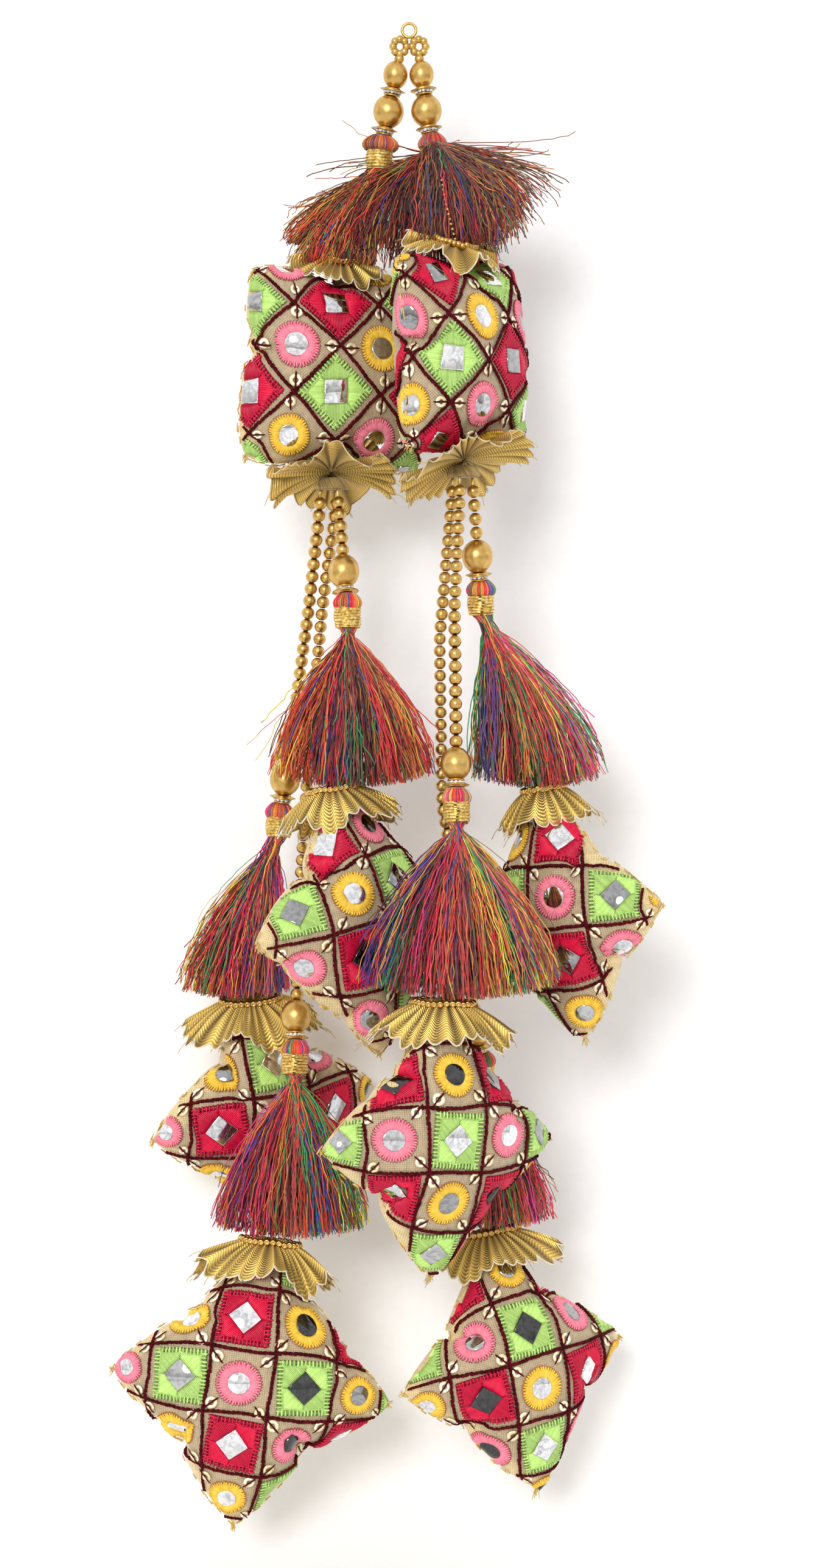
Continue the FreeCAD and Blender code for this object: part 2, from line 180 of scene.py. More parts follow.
def make_materials(colours):
    """Every finish on the pair, each one named for the real thing."""
    # Brass beads, tumbled and gilt plated: a bright satin metal with small dents and warmer hollows.
    material, tree, shader = new_material("Gilt Plated Brass", Metallic=1.0, Roughness=0.26)
    place = add_node(tree, "ShaderNodeTexCoord")
    dents = noise(tree, place, 500.0, 3.0)
    tint = add_node(tree, "ShaderNodeValToRGB", {"Fac": dents.outputs["Fac"]})
    gilt = tuple(colours.gilt)
    set_ramp(tint, [(0.25, tuple(0.8 * part for part in gilt[:3]) + (1.0,)), (0.55, gilt),
                    (0.9, srgb("#E8CE92"))])
    tree.links.new(tint.outputs["Color"], shader.inputs["Base Color"])
    gloss = add_node(tree, "ShaderNodeMapRange",
                     {"Value": dents.outputs["Fac"], "To Min": 0.26, "To Max": 0.4})
    tree.links.new(gloss.outputs["Result"], shader.inputs["Roughness"])
    bump = add_node(tree, "ShaderNodeBump",
                    {"Height": dents.outputs["Fac"], "Strength": 0.1, "Distance": 0.0001})
    tree.links.new(bump.outputs["Normal"], shader.inputs["Normal"])
    MATERIALS["gilt"] = material

    # Lead-glass rhinestones: clear and sharply faceted. A cell pattern paints bright glints and dark facets
    # into the colour.
    material, tree, shader = new_material(
        "Cut Lead Glass", Base_Color=srgb("#F4F4F8"), Roughness=0.06, IOR=1.6)
    place = add_node(tree, "ShaderNodeTexCoord")
    painted_glints = add_node(tree, "ShaderNodeTexVoronoi", {"Vector": place.outputs["Object"], "Scale": 900.0})
    tint = add_node(tree, "ShaderNodeValToRGB", {"Fac": painted_glints.outputs["Distance"]})
    set_ramp(tint, [(0.1, srgb("#FFFFFF")), (0.5, srgb("#E4E6EA")), (0.9, srgb("#7A7870"))])
    tree.links.new(tint.outputs["Color"], shader.inputs["Base Color"])
    MATERIALS["glass"] = material

    # Art silk floss, twisted in two plies: dyed per lock, a soft gloss along each thread.
    material, tree, shader = new_material("Twisted Art Silk", Roughness=0.42, Sheen_Weight=0.25,
                                          Sheen_Roughness=0.4, Specular_IOR_Level=0.45)
    dye = add_node(tree, "ShaderNodeAttribute", attribute_name="Shade")
    place = add_node(tree, "ShaderNodeTexCoord")
    ply = noise(tree, place, 700.0, 2.0)
    depth = add_node(tree, "ShaderNodeMapRange", {"Value": ply.outputs["Fac"], "To Min": 0.62, "To Max": 1.3})
    varied_colour = add_node(tree, "ShaderNodeVectorMath", {0: dye.outputs["Color"], "Scale": depth.outputs["Result"]},
                    operation="SCALE")
    tree.links.new(varied_colour.outputs["Vector"], shader.inputs["Base Color"])
    MATERIALS["silk"] = material

    # Satin stitch in glossy viscose floss: close lines that flash as they turn.
    material, tree, shader = new_material("Viscose Satin Stitch", Roughness=0.34, Specular_IOR_Level=0.4)
    dye = add_node(tree, "ShaderNodeAttribute", attribute_name="Shade")
    place = add_node(tree, "ShaderNodeTexCoord")
    floss = noise(tree, place, 1400.0, 2.0)
    depth = add_node(tree, "ShaderNodeMapRange",
                     {"Value": floss.outputs["Fac"], "To Min": 0.78, "To Max": 1.18})
    varied_colour = add_node(tree, "ShaderNodeVectorMath", {0: dye.outputs["Color"], "Scale": depth.outputs["Result"]},
                    operation="SCALE")
    tree.links.new(varied_colour.outputs["Vector"], shader.inputs["Base Color"])
    MATERIALS["satin"] = material

    # Six-strand cotton, unmercerised: the dull dark line of the lattice.
    material, tree, shader = new_material("Stranded Cotton", Roughness=0.85, Specular_IOR_Level=0.1)
    dye = add_node(tree, "ShaderNodeAttribute", attribute_name="Shade")
    place = add_node(tree, "ShaderNodeTexCoord")
    fuzz = noise(tree, place, 1500.0, 2.0)
    depth = add_node(tree, "ShaderNodeMapRange", {"Value": fuzz.outputs["Fac"], "To Min": 0.6, "To Max": 1.4})
    varied_colour = add_node(tree, "ShaderNodeVectorMath", {0: dye.outputs["Color"], "Scale": depth.outputs["Result"]},
                    operation="SCALE")
    tree.links.new(varied_colour.outputs["Vector"], shader.inputs["Base Color"])
    MATERIALS["cotton"] = material

    # Silvered mirror glass, hand cut: smoky in places, with fine scratches.
    material, tree, shader = new_material("Silvered Mirror Glass", Metallic=1.0, Roughness=0.05)
    # The Shade attribute carries each mirror's painted reflection.
    dye = add_node(tree, "ShaderNodeAttribute", attribute_name="Shade")
    place = add_node(tree, "ShaderNodeTexCoord")
    smoke = add_node(tree, "ShaderNodeTexNoise",
                     {"Vector": place.outputs["Object"], "Scale": 420.0, "Detail": 4.0,
                                                  "Distortion": 1.5})
    depth = add_node(tree, "ShaderNodeMapRange",
                     {"Value": smoke.outputs["Fac"], "From Min": 0.3, "From Max": 0.6,
                                                  "To Min": 0.55, "To Max": 1.0})
    varied_colour = add_node(tree, "ShaderNodeVectorMath", {0: dye.outputs["Color"], "Scale": depth.outputs["Result"]},
                    operation="SCALE")
    tree.links.new(varied_colour.outputs["Vector"], shader.inputs["Base Color"])
    MATERIALS["mirror"] = material

    # Punched gilt sequins: thin flat metal foil, brighter than the beads.
    material, tree, shader = new_material("Gilt Foil Sequin", Metallic=0.35, Roughness=0.25)
    place = add_node(tree, "ShaderNodeTexCoord")
    foil = add_node(tree, "ShaderNodeTexNoise", {"Vector": place.outputs["Object"], "Scale": 260.0})
    tint = add_node(tree, "ShaderNodeValToRGB", {"Fac": foil.outputs["Fac"]})
    set_ramp(tint, [(0.3, srgb("#F0DCA0")), (0.6, srgb("#FFF6DC"))])
    tree.links.new(tint.outputs["Color"], shader.inputs["Base Color"])
    MATERIALS["sequin"] = material

    # Zari: yellow silk core wound with gilt strip, so it glitters in dashes.
    material, tree, shader = new_material("Gilt Zari Thread", Metallic=0.65, Roughness=0.34)
    place = add_node(tree, "ShaderNodeTexCoord")
    strip = noise(tree, place, 1100.0, 2.0)
    tint = add_node(tree, "ShaderNodeValToRGB", {"Fac": strip.outputs["Fac"]})
    set_ramp(tint, [(0.3, srgb("#B48A34")), (0.5, srgb("#E8C468")), (0.7, srgb("#FFF0B4"))])
    tree.links.new(tint.outputs["Color"], shader.inputs["Base Color"])
    MATERIALS["zari"] = material

    # Lurex ribbon, woven with a rib across it: fine bright and dull lines along each pleat.
    for key, name, light in (("ribbon", "Ribbed Lurex Ribbon", 1.0), ("lining", "Ribbon Underside", 0.9)):
        material, tree, shader = new_material(name, Metallic=0.6, Roughness=0.36, Sheen_Weight=0.1)
        flat = add_node(tree, "ShaderNodeUVMap", uv_map="Flat")
        # One rib is 0.9 mm wide on the ribbon, and a flat coordinate of 1 is 100 mm.
        ribs = add_node(tree, "ShaderNodeTexWave",
                        {"Vector": flat.outputs["UV"], "Scale": 35.0, "Distortion": 0.8,
                                                    "Detail": 2.0, "Detail Scale": 3.0}, bands_direction="X")
        base = tuple(light * part for part in tuple(colours.ribbon)[:3])
        tint = add_node(tree, "ShaderNodeValToRGB", {"Fac": ribs.outputs["Fac"]})
        set_ramp(tint, [(0.15, tuple(0.72 * part for part in base) + (1.0,)), (0.6, base + (1.0,)),
                        (0.92, tuple(min(1.0, 1.35 * part) for part in base) + (1.0,))])
        # Painted shade darkens the valleys of the pleats and the ribbon towards the crown, and painted light
        # brightens the crests of the pleats.
        painted_pleat_shade = add_node(tree, "ShaderNodeAttribute", attribute_name="Shade")
        varied_colour = add_node(tree, "ShaderNodeVectorMath", {0: tint.outputs["Color"], 1: painted_pleat_shade.outputs["Color"]},
                        operation="MULTIPLY")
        tree.links.new(varied_colour.outputs["Vector"], shader.inputs["Base Color"])
        bump = add_node(tree, "ShaderNodeBump", {"Height": ribs.outputs["Fac"], "Strength": 0.4,
                                                 "Distance": 0.0004})
        tree.links.new(bump.outputs["Normal"], shader.inputs["Normal"])
        MATERIALS[key] = material

    # Gold tissue and net, plain woven: a speckle of warp and weft with glints of metal yarn.
    material, tree, shader = new_material("Woven Gold Tissue", Roughness=0.62, Sheen_Weight=0.35,
                                          Sheen_Roughness=0.5)
    dye = add_node(tree, "ShaderNodeAttribute", attribute_name="Shade")
    flat = add_node(tree, "ShaderNodeUVMap", uv_map="Flat")
    # Yarns are 0.5 mm apart, drawn a little coarser than the real cloth so that they show.
    warp = add_node(tree, "ShaderNodeTexWave",
                    {"Vector": flat.outputs["UV"], "Scale": 48.0, "Distortion": 1.2,
                                                "Detail": 2.0, "Detail Scale": 2.0}, bands_direction="X")
    weft = add_node(tree, "ShaderNodeTexWave",
                    {"Vector": flat.outputs["UV"], "Scale": 54.0, "Distortion": 1.2,
                                                "Detail": 2.0, "Detail Scale": 2.0}, bands_direction="Y")
    cloth = add_node(tree, "ShaderNodeMath", {0: warp.outputs["Fac"], 1: weft.outputs["Fac"]},
                     operation="MULTIPLY")
    speck = add_node(tree, "ShaderNodeTexNoise", {"Vector": flat.outputs["UV"], "Scale": 60.0, "Detail": 3.0})
    blend = add_node(tree, "ShaderNodeMath", {0: cloth.outputs["Value"], 1: speck.outputs["Fac"]},
                     operation="ADD")
    depth = add_node(tree, "ShaderNodeMapRange",
                     {"Value": blend.outputs["Value"], "From Min": 0.3, "From Max": 1.3,
                                                  "To Min": 0.62, "To Max": 1.25})
    varied_colour = add_node(tree, "ShaderNodeVectorMath", {0: dye.outputs["Color"], "Scale": depth.outputs["Result"]},
                    operation="SCALE")
    tree.links.new(varied_colour.outputs["Vector"], shader.inputs["Base Color"])
    bump = add_node(tree, "ShaderNodeBump", {"Height": blend.outputs["Value"], "Strength": 0.3,
                                             "Distance": 0.0002})
    tree.links.new(bump.outputs["Normal"], shader.inputs["Normal"])
    MATERIALS["tissue"] = material


# ---- Reading the frame, in millimetres ----
def solids_of(name):
    """The separate solids of a frame node, each as its corner points."""
    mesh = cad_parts[name].data
    points = np.array([vertex.co for vertex in mesh.vertices], float) * 1000
    faces = np.array([polygon.vertices[:] for polygon in mesh.polygons])
    _, first, merged = np.unique(np.round(points, 3), axis=0, return_index=True, return_inverse=True)
    faces = merged.reshape(-1)[faces]
    label = np.arange(len(first))
    while True:
        lowest = np.repeat(label[faces].min(axis=1), 3)
        spread = label.copy()
        np.minimum.at(spread, faces.reshape(-1), lowest)
        if (spread == label).all():
            break
        label = spread
    return [points[first][label == value] for value in np.unique(label)]


def middle_of(points):
    return (points.min(axis=0) + points.max(axis=0)) / 2


def unit(vector):
    vector = np.asarray(vector, float)
    return vector / np.maximum(np.linalg.norm(vector, axis=-1, keepdims=True), 1e-12)


def thin_axis(points):
    """The direction in which a solid is thinnest, and the one in which it is longest."""
    away = points - points.mean(axis=0)
    _, _, axes = np.linalg.svd(away, full_matrices=False)
    return axes[2], axes[0]


# ---- Gathering meshes ----
class Heap:
    """The points, faces, colours and flat coordinates of one object, gathered bit by bit, in millimetres."""

    def __init__(self):
        self.points, self.faces, self.shades, self.flats, self.slots = [], [], [], [], []
        self.count = 0

    def add(self, points, faces, shade=(1, 1, 1), slot=0, flat=None):
        """Faces have four corners each, and a last corner of -1 makes a triangle."""
        points = np.asarray(points, float).reshape(-1, 3)
        faces = np.asarray(faces, int).reshape(-1, 4)
        shade = np.asarray(shade, float)
        self.points.append(points)
        self.faces.append(np.where(faces < 0, -1, faces + self.count))
        self.shades.append(np.broadcast_to(shade[..., :3], (len(points), 3)))
        self.flats.append(np.zeros((len(points), 2)) if flat is None else np.asarray(flat, float))
        self.slots.append(np.full(len(faces), slot))
        self.count += len(points)

    def make(self, name, materials, smooth=True):
        """Builds the object, at the origin and with its place in its mesh."""
        points = np.concatenate(self.points) / 1000
        faces = np.concatenate(self.faces)
        totals = (faces >= 0).sum(axis=1)
        corners = faces[faces >= 0]
        mesh = bpy.data.meshes.new(name)
        mesh.vertices.add(len(points))
        mesh.vertices.foreach_set("co", points.reshape(-1))
        mesh.loops.add(len(corners))
        mesh.loops.foreach_set("vertex_index", corners)
        mesh.polygons.add(len(faces))
        mesh.polygons.foreach_set("loop_start", np.concatenate([[0], np.cumsum(totals)[:-1]]))
        mesh.polygons.foreach_set("material_index", np.concatenate(self.slots))
        mesh.polygons.foreach_set("use_smooth", np.full(len(faces), smooth))
        mesh.update(calc_edges=True)
        shade = mesh.color_attributes.new("Shade", "FLOAT_COLOR", "POINT")
        colours = np.concatenate(self.shades)
        shade.data.foreach_set("color", np.hstack([colours, np.ones((len(colours), 1))]).reshape(-1))
        flat = mesh.uv_layers.new(name="Flat")
        flat.data.foreach_set("uv", np.concatenate(self.flats)[corners].reshape(-1))
        for material in materials:
            mesh.materials.append(MATERIALS[material])
        mesh.validate()
        piece = bpy.data.objects.new(name, mesh)
        bpy.context.scene.collection.objects.link(piece)
        return piece


def settle(piece, body, slot, *nodes):
    """The piece rides on its body and stands for the frame's nodes. The slot is not used."""
    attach(piece, body)
    if nodes:
        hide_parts(*nodes)


def body_of(node):
    """The body that a frame node rides on."""
    side, rest = node.split("_", 1)
    for length in ("short", "middle", "long"):
        if rest.startswith(length + "_"):
            hangs = rest[len(length) + 1:] in ("rosette", "cushion")
            return f"{side}_{length}_" + ("drop" if hangs else "string")
    return side + ("_upper" if rest.startswith(("cap_", "upper_", "base_")) else "_hanger")


def strands(paths, radii, sides=3):
    """Thin round threads. Paths has threads, steps and places; radii is one number or one for each step."""
    paths = np.asarray(paths, float)
    count, steps = paths.shape[:2]
    along = unit(np.gradient(paths, axis=1))
    run = np.abs(paths[:, -1] - paths[:, 0])
    helper = np.eye(3)[run.argmin(axis=1)][:, None]
    first = unit(np.cross(along, helper))
    second = np.cross(along, first)
    turn = 2 * np.pi * np.arange(sides) / sides
    ring = first[:, :, None] * np.cos(turn)[:, None] + second[:, :, None] * np.sin(turn)[:, None]
    radii = np.broadcast_to(radii, (count, steps))
    points = paths[:, :, None] + ring * radii[:, :, None, None]
    index = np.arange(count * steps * sides).reshape(count, steps, sides)
    low, high = index[:, :-1], index[:, 1:]
    walls = np.stack([low, np.roll(low, -1, 2), np.roll(high, -1, 2), high], -1).reshape(-1, 4)
    ends = np.full((2 * count, 4), -1)
    ends[:count, :sides] = index[:, 0, ::-1]
    ends[count:, :sides] = index[:, -1]
    return points.reshape(-1, 3), np.concatenate([walls, ends])


def turned(profile, centre, axis, sides=24):
    """A surface of revolution through (distance along the axis, radius) pairs, closed at both ends."""
    axis = unit(axis)
    first = unit(np.cross(axis, np.eye(3)[np.abs(axis).argmin()]))
    second = np.cross(axis, first)
    turn = 2 * np.pi * np.arange(sides) / sides
    ring = first * np.cos(turn)[:, None] + second * np.sin(turn)[:, None]
    points = np.array([centre + axis * height + ring * radius for height, radius in profile])
    index = np.arange(points.size // 3).reshape(len(profile), sides)
    low, high = index[:-1], index[1:]
    walls = np.stack([low, np.roll(low, -1, 1), np.roll(high, -1, 1), high], -1).reshape(-1, 4)
    points = np.concatenate([points.reshape(-1, 3),
                             [centre + axis * profile[0][0], centre + axis * profile[-1][0]]])
    last = len(points) - 1
    lids = [(index[0, step], last - 1, index[0, (step + 1) % sides], -1) for step in range(sides)]
    lids += [(index[-1, step], index[-1, (step + 1) % sides], last, -1) for step in range(sides)]
    lids = [(a, c, b, d) for a, b, c, d in lids[:sides]] + lids[sides:]
    return points, np.concatenate([walls, lids])


# ---- Models made with the modelling operators, once each ----
def shape_of(piece):
    """Takes a modelled object's points and faces, and removes the object."""
    points = np.array([vertex.co for vertex in piece.data.vertices], float)
    faces = []
    for polygon in piece.data.polygons:
        corners = list(polygon.vertices)
        if len(corners) <= 4:
            faces.append(corners + [-1] * (4 - len(corners)))
        else:
            for step in range(1, len(corners) - 1):
                faces.append([corners[0], corners[step], corners[step + 1], -1])
    bpy.data.objects.remove(piece)
    return points, np.array(faces)


def select_faces(piece, test):
    """Selects, in edit mode, the faces whose middle and normal pass the test."""
    bpy.ops.object.mode_set(mode="OBJECT")
    for polygon in piece.data.polygons:
        polygon.select = bool(test(polygon.center, polygon.normal))
    for vertex in piece.data.vertices:
        vertex.select = False
    for edge in piece.data.edges:
        edge.select = False
    bpy.ops.object.mode_set(mode="EDIT")
    bpy.ops.mesh.select_mode(type="FACE")


def model_bead(segments, rings):
    """A round bead with a dimpled thread hole at each pole, of radius 1 about the z axis."""
    bpy.ops.object.select_all(action="DESELECT")
    bpy.ops.mesh.primitive_uv_sphere_add(segments=segments, ring_count=rings, radius=1)
    bead = bpy.context.object
    for pole in (1, -1):
        reach = math.cos(1.2 * math.pi / rings)
        select_faces(bead, lambda centre, normal: centre.z * pole > reach)
        bpy.ops.mesh.inset(thickness=0.06)
        bpy.ops.transform.translate(value=(0, 0, -0.3 * pole))
    bpy.ops.object.mode_set(mode="OBJECT")
    return shape_of(bead)


def model_rondelle():
    """A gilt spacer of radius 1: two flared rims on a drum. The stones are set between them."""
    bpy.ops.object.select_all(action="DESELECT")
    bpy.ops.mesh.primitive_cylinder_add(vertices=28, radius=0.66, depth=0.3)
    drum = bpy.context.object
    for end in (1, -1):
        select_faces(drum, lambda centre, normal: normal.z * end > 0.9)
        bpy.ops.mesh.extrude_region_move(TRANSFORM_OT_translate={"value": (0, 0, 0.03 * end)})
        bpy.ops.transform.resize(value=(1.38, 1.38, 1))
        bpy.ops.mesh.extrude_region_move(TRANSFORM_OT_translate={"value": (0, 0, 0.06 * end)})
        bpy.ops.mesh.inset(thickness=0.05)
        bpy.ops.transform.translate(value=(0, 0, 0.04 * end))
        bpy.ops.mesh.inset(thickness=0.45)
        bpy.ops.transform.translate(value=(0, 0, -0.05 * end))
    bpy.ops.object.mode_set(mode="OBJECT")
    return shape_of(drum)


def model_stone():
    """A round-cut stone of radius 1 with a flat table on its outer side."""
    bpy.ops.object.select_all(action="DESELECT")
    bpy.ops.mesh.primitive_ico_sphere_add(subdivisions=2, radius=1)
    stone = bpy.context.object
    bpy.ops.object.mode_set(mode="EDIT")
    bpy.ops.mesh.select_all(action="SELECT")
    bpy.ops.mesh.bisect(plane_co=(0, 0, 0.6), plane_no=(0, 0, 1), use_fill=True, clear_outer=True)
    bpy.ops.object.mode_set(mode="OBJECT")
    return shape_of(stone)


def model_wire_ring(radius, wire):
    """A soldered wire ring in the xz plane, slightly oval, with the joint at its foot."""
    bpy.ops.object.select_all(action="DESELECT")
    bpy.ops.mesh.primitive_torus_add(major_segments=40, minor_segments=10, major_radius=radius,
                                     minor_radius=wire,
                                     rotation=(math.pi / 2, 0, 0))
    ring = bpy.context.object
    bpy.ops.object.transform_apply(location=False, rotation=True, scale=False)
    select_faces(ring, lambda centre, normal: centre.z < -0.97 * radius)
    bpy.ops.transform.resize(value=(1, 1.18, 1.0))
    bpy.ops.object.mode_set(mode="OBJECT")
    return shape_of(ring)


def placed(points, centre, axis, size, length=None):
    """A modelled shape's points, turned from the z axis to another and scaled to radius and half length."""
    axis = unit(axis)
    first = unit(np.cross(axis, np.eye(3)[np.abs(axis).argmin()]))
    second = np.cross(axis, first)
    frame_axes = np.array([first * size, second * size, axis * (length or size)])
    return centre + points @ frame_axes


# ---- Beads ----
class LATKAN_OT_beads(bpy.types.Operator):
    """Dresses the ring, the bead chains, the large beads and the rondelles"""

    bl_idname = "latkan.beads"
    bl_label = "Beads and Ring"
    bl_options = {"REGISTER", "UNDO"}

    def execute(self, context):
        small, large = model_bead(12, 8), model_bead(22, 14)
        rondelle, stone = model_rondelle(), model_stone()
        ring = Heap()
        low, high = (np.array(corner) * 1000 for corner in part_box("hanging_ring"))
        wire = (high[1] - low[1]) / 2
        ring.add(*model_wire_ring((high[0] - low[0]) / 2 - wire, wire))
        settle(ring.make("Wire_Ring", ["gilt"]), "root", "gold_metal", "hanging_ring")
        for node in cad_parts:
            kind = [word for word in ("_loop_beads", "_large_bead", "_rondelle", "_beads") if word in node]
            if not kind or "_rosette" in node:
                continue
            heap = Heap()
            for solid in solids_of(node):
                centre = middle_of(solid)
                extent = solid.max(axis=0) - solid.min(axis=0)
                flat_axis, long_axis = thin_axis(solid)
                if kind[0] == "_rondelle":
                    reach = np.linalg.norm(solid - centre, axis=1).max() * 0.97
                    radius = reach * 0.76
                    heap.add(placed(rondelle[0], centre, flat_axis, radius, reach * 1.15), rondelle[1])
                    first = unit(np.cross(flat_axis, np.eye(3)[np.abs(flat_axis).argmin()]))
                    second = np.cross(flat_axis, first)
                    for turn in 2 * np.pi * np.arange(12) / 12:
                        out = first * math.cos(turn) + second * math.sin(turn)
                        heap.add(placed(stone[0], centre + out * radius * 0.84, out, reach * 0.17), stone[1],
                                 slot=1)
                elif extent.min() < 1.1:
                    length = np.linalg.norm(extent)
                    path = centre + long_axis * np.linspace(-0.5, 0.5, 4)[:, None] * length
                    heap.add(*strands(path[None], 0.45, 4), slot=2)
                elif kind[0] == "_large_bead":
                    upright = np.array([0.0, 0.0, 1.0]) if abs(flat_axis[2]) < 0.5 else flat_axis
                    axis = np.sign(upright[2]) * upright
                    heap.add(placed(large[0], centre, axis, (extent[0] + extent[1]) / 4, extent[2] / 2),
                             large[1])
                else:
                    plump = 0.85 if kind[0] == "_loop_beads" else 0.5
                    heap.add(placed(small[0], centre, unit(long_axis), extent.max() * plump), small[1])
            slot = "rondelle" if kind[0] == "_rondelle" else "gold_bead"
            piece = heap.make("Dressed_" + node, ["gilt", "glass", "zari"])
            settle(piece, body_of(node), slot, node)
        return {"FINISHED"}


# ---- Tassels ----
SILK = {
    "crimson": "#E01C3C", "scarlet": "#F04828", "orange": "#F88430", "ochre": "#DCA044", "yellow": "#F8D048",
    "magenta": "#E83484", "purple": "#743498", "navy": "#3040A8", "green": "#2C9C54", "teal": "#2C9C9C",
    "wine": "#8C1430", "umber": "#B0702C",
}
# Locks of dyed silk from the left of each skirt to its right, as they lie at the front.
SKIRTS = {
    "left_hanger": "ochre umber scarlet ochre wine umber wine",
    "right_hanger": "ochre umber scarlet wine umber crimson wine scarlet umber wine wine scarlet umber "
                    "wine umber scarlet ochre umber",
    "left_short": "yellow scarlet orange scarlet crimson navy green wine umber crimson scarlet "
                  "orange crimson",
    "left_middle": "yellow crimson green scarlet magenta crimson purple orange magenta navy magenta",
    "left_long": "magenta navy crimson magenta scarlet orange crimson scarlet green navy scarlet "
                 "green yellow",
    "right_short": "green navy purple scarlet crimson orange green scarlet crimson yellow magenta "
                   "green magenta",
    "right_middle": "purple navy green crimson magenta crimson scarlet crimson scarlet crimson "
                    "orange yellow green magenta yellow ochre",
    "right_long": "crimson scarlet green navy crimson scarlet crimson green orange magenta crimson",
}


def dye_for(name, across, luck):
    """Silk colours for locks at places from -1 at the left to 1 at the right."""
    order = SKIRTS[name].split()
    place = (across * 0.5 + 0.5) * len(order) + luck.normal(0, 0.55, len(across))
    names = np.array(order)[np.clip(place, 0, len(order) - 1).astype(int)]
    stray = luck.random(len(across))
    everywhere = np.array(["crimson", "scarlet", "orange", "yellow", "wine", "green", "navy", "ochre",
                           "scarlet",
                           "orange", "wine", "crimson", "umber"])
    names = np.where(stray < 0.4, everywhere[luck.integers(0, len(everywhere), len(across))], names)
    return np.array([srgb(SILK[str(colour)])[:3] for colour in names])


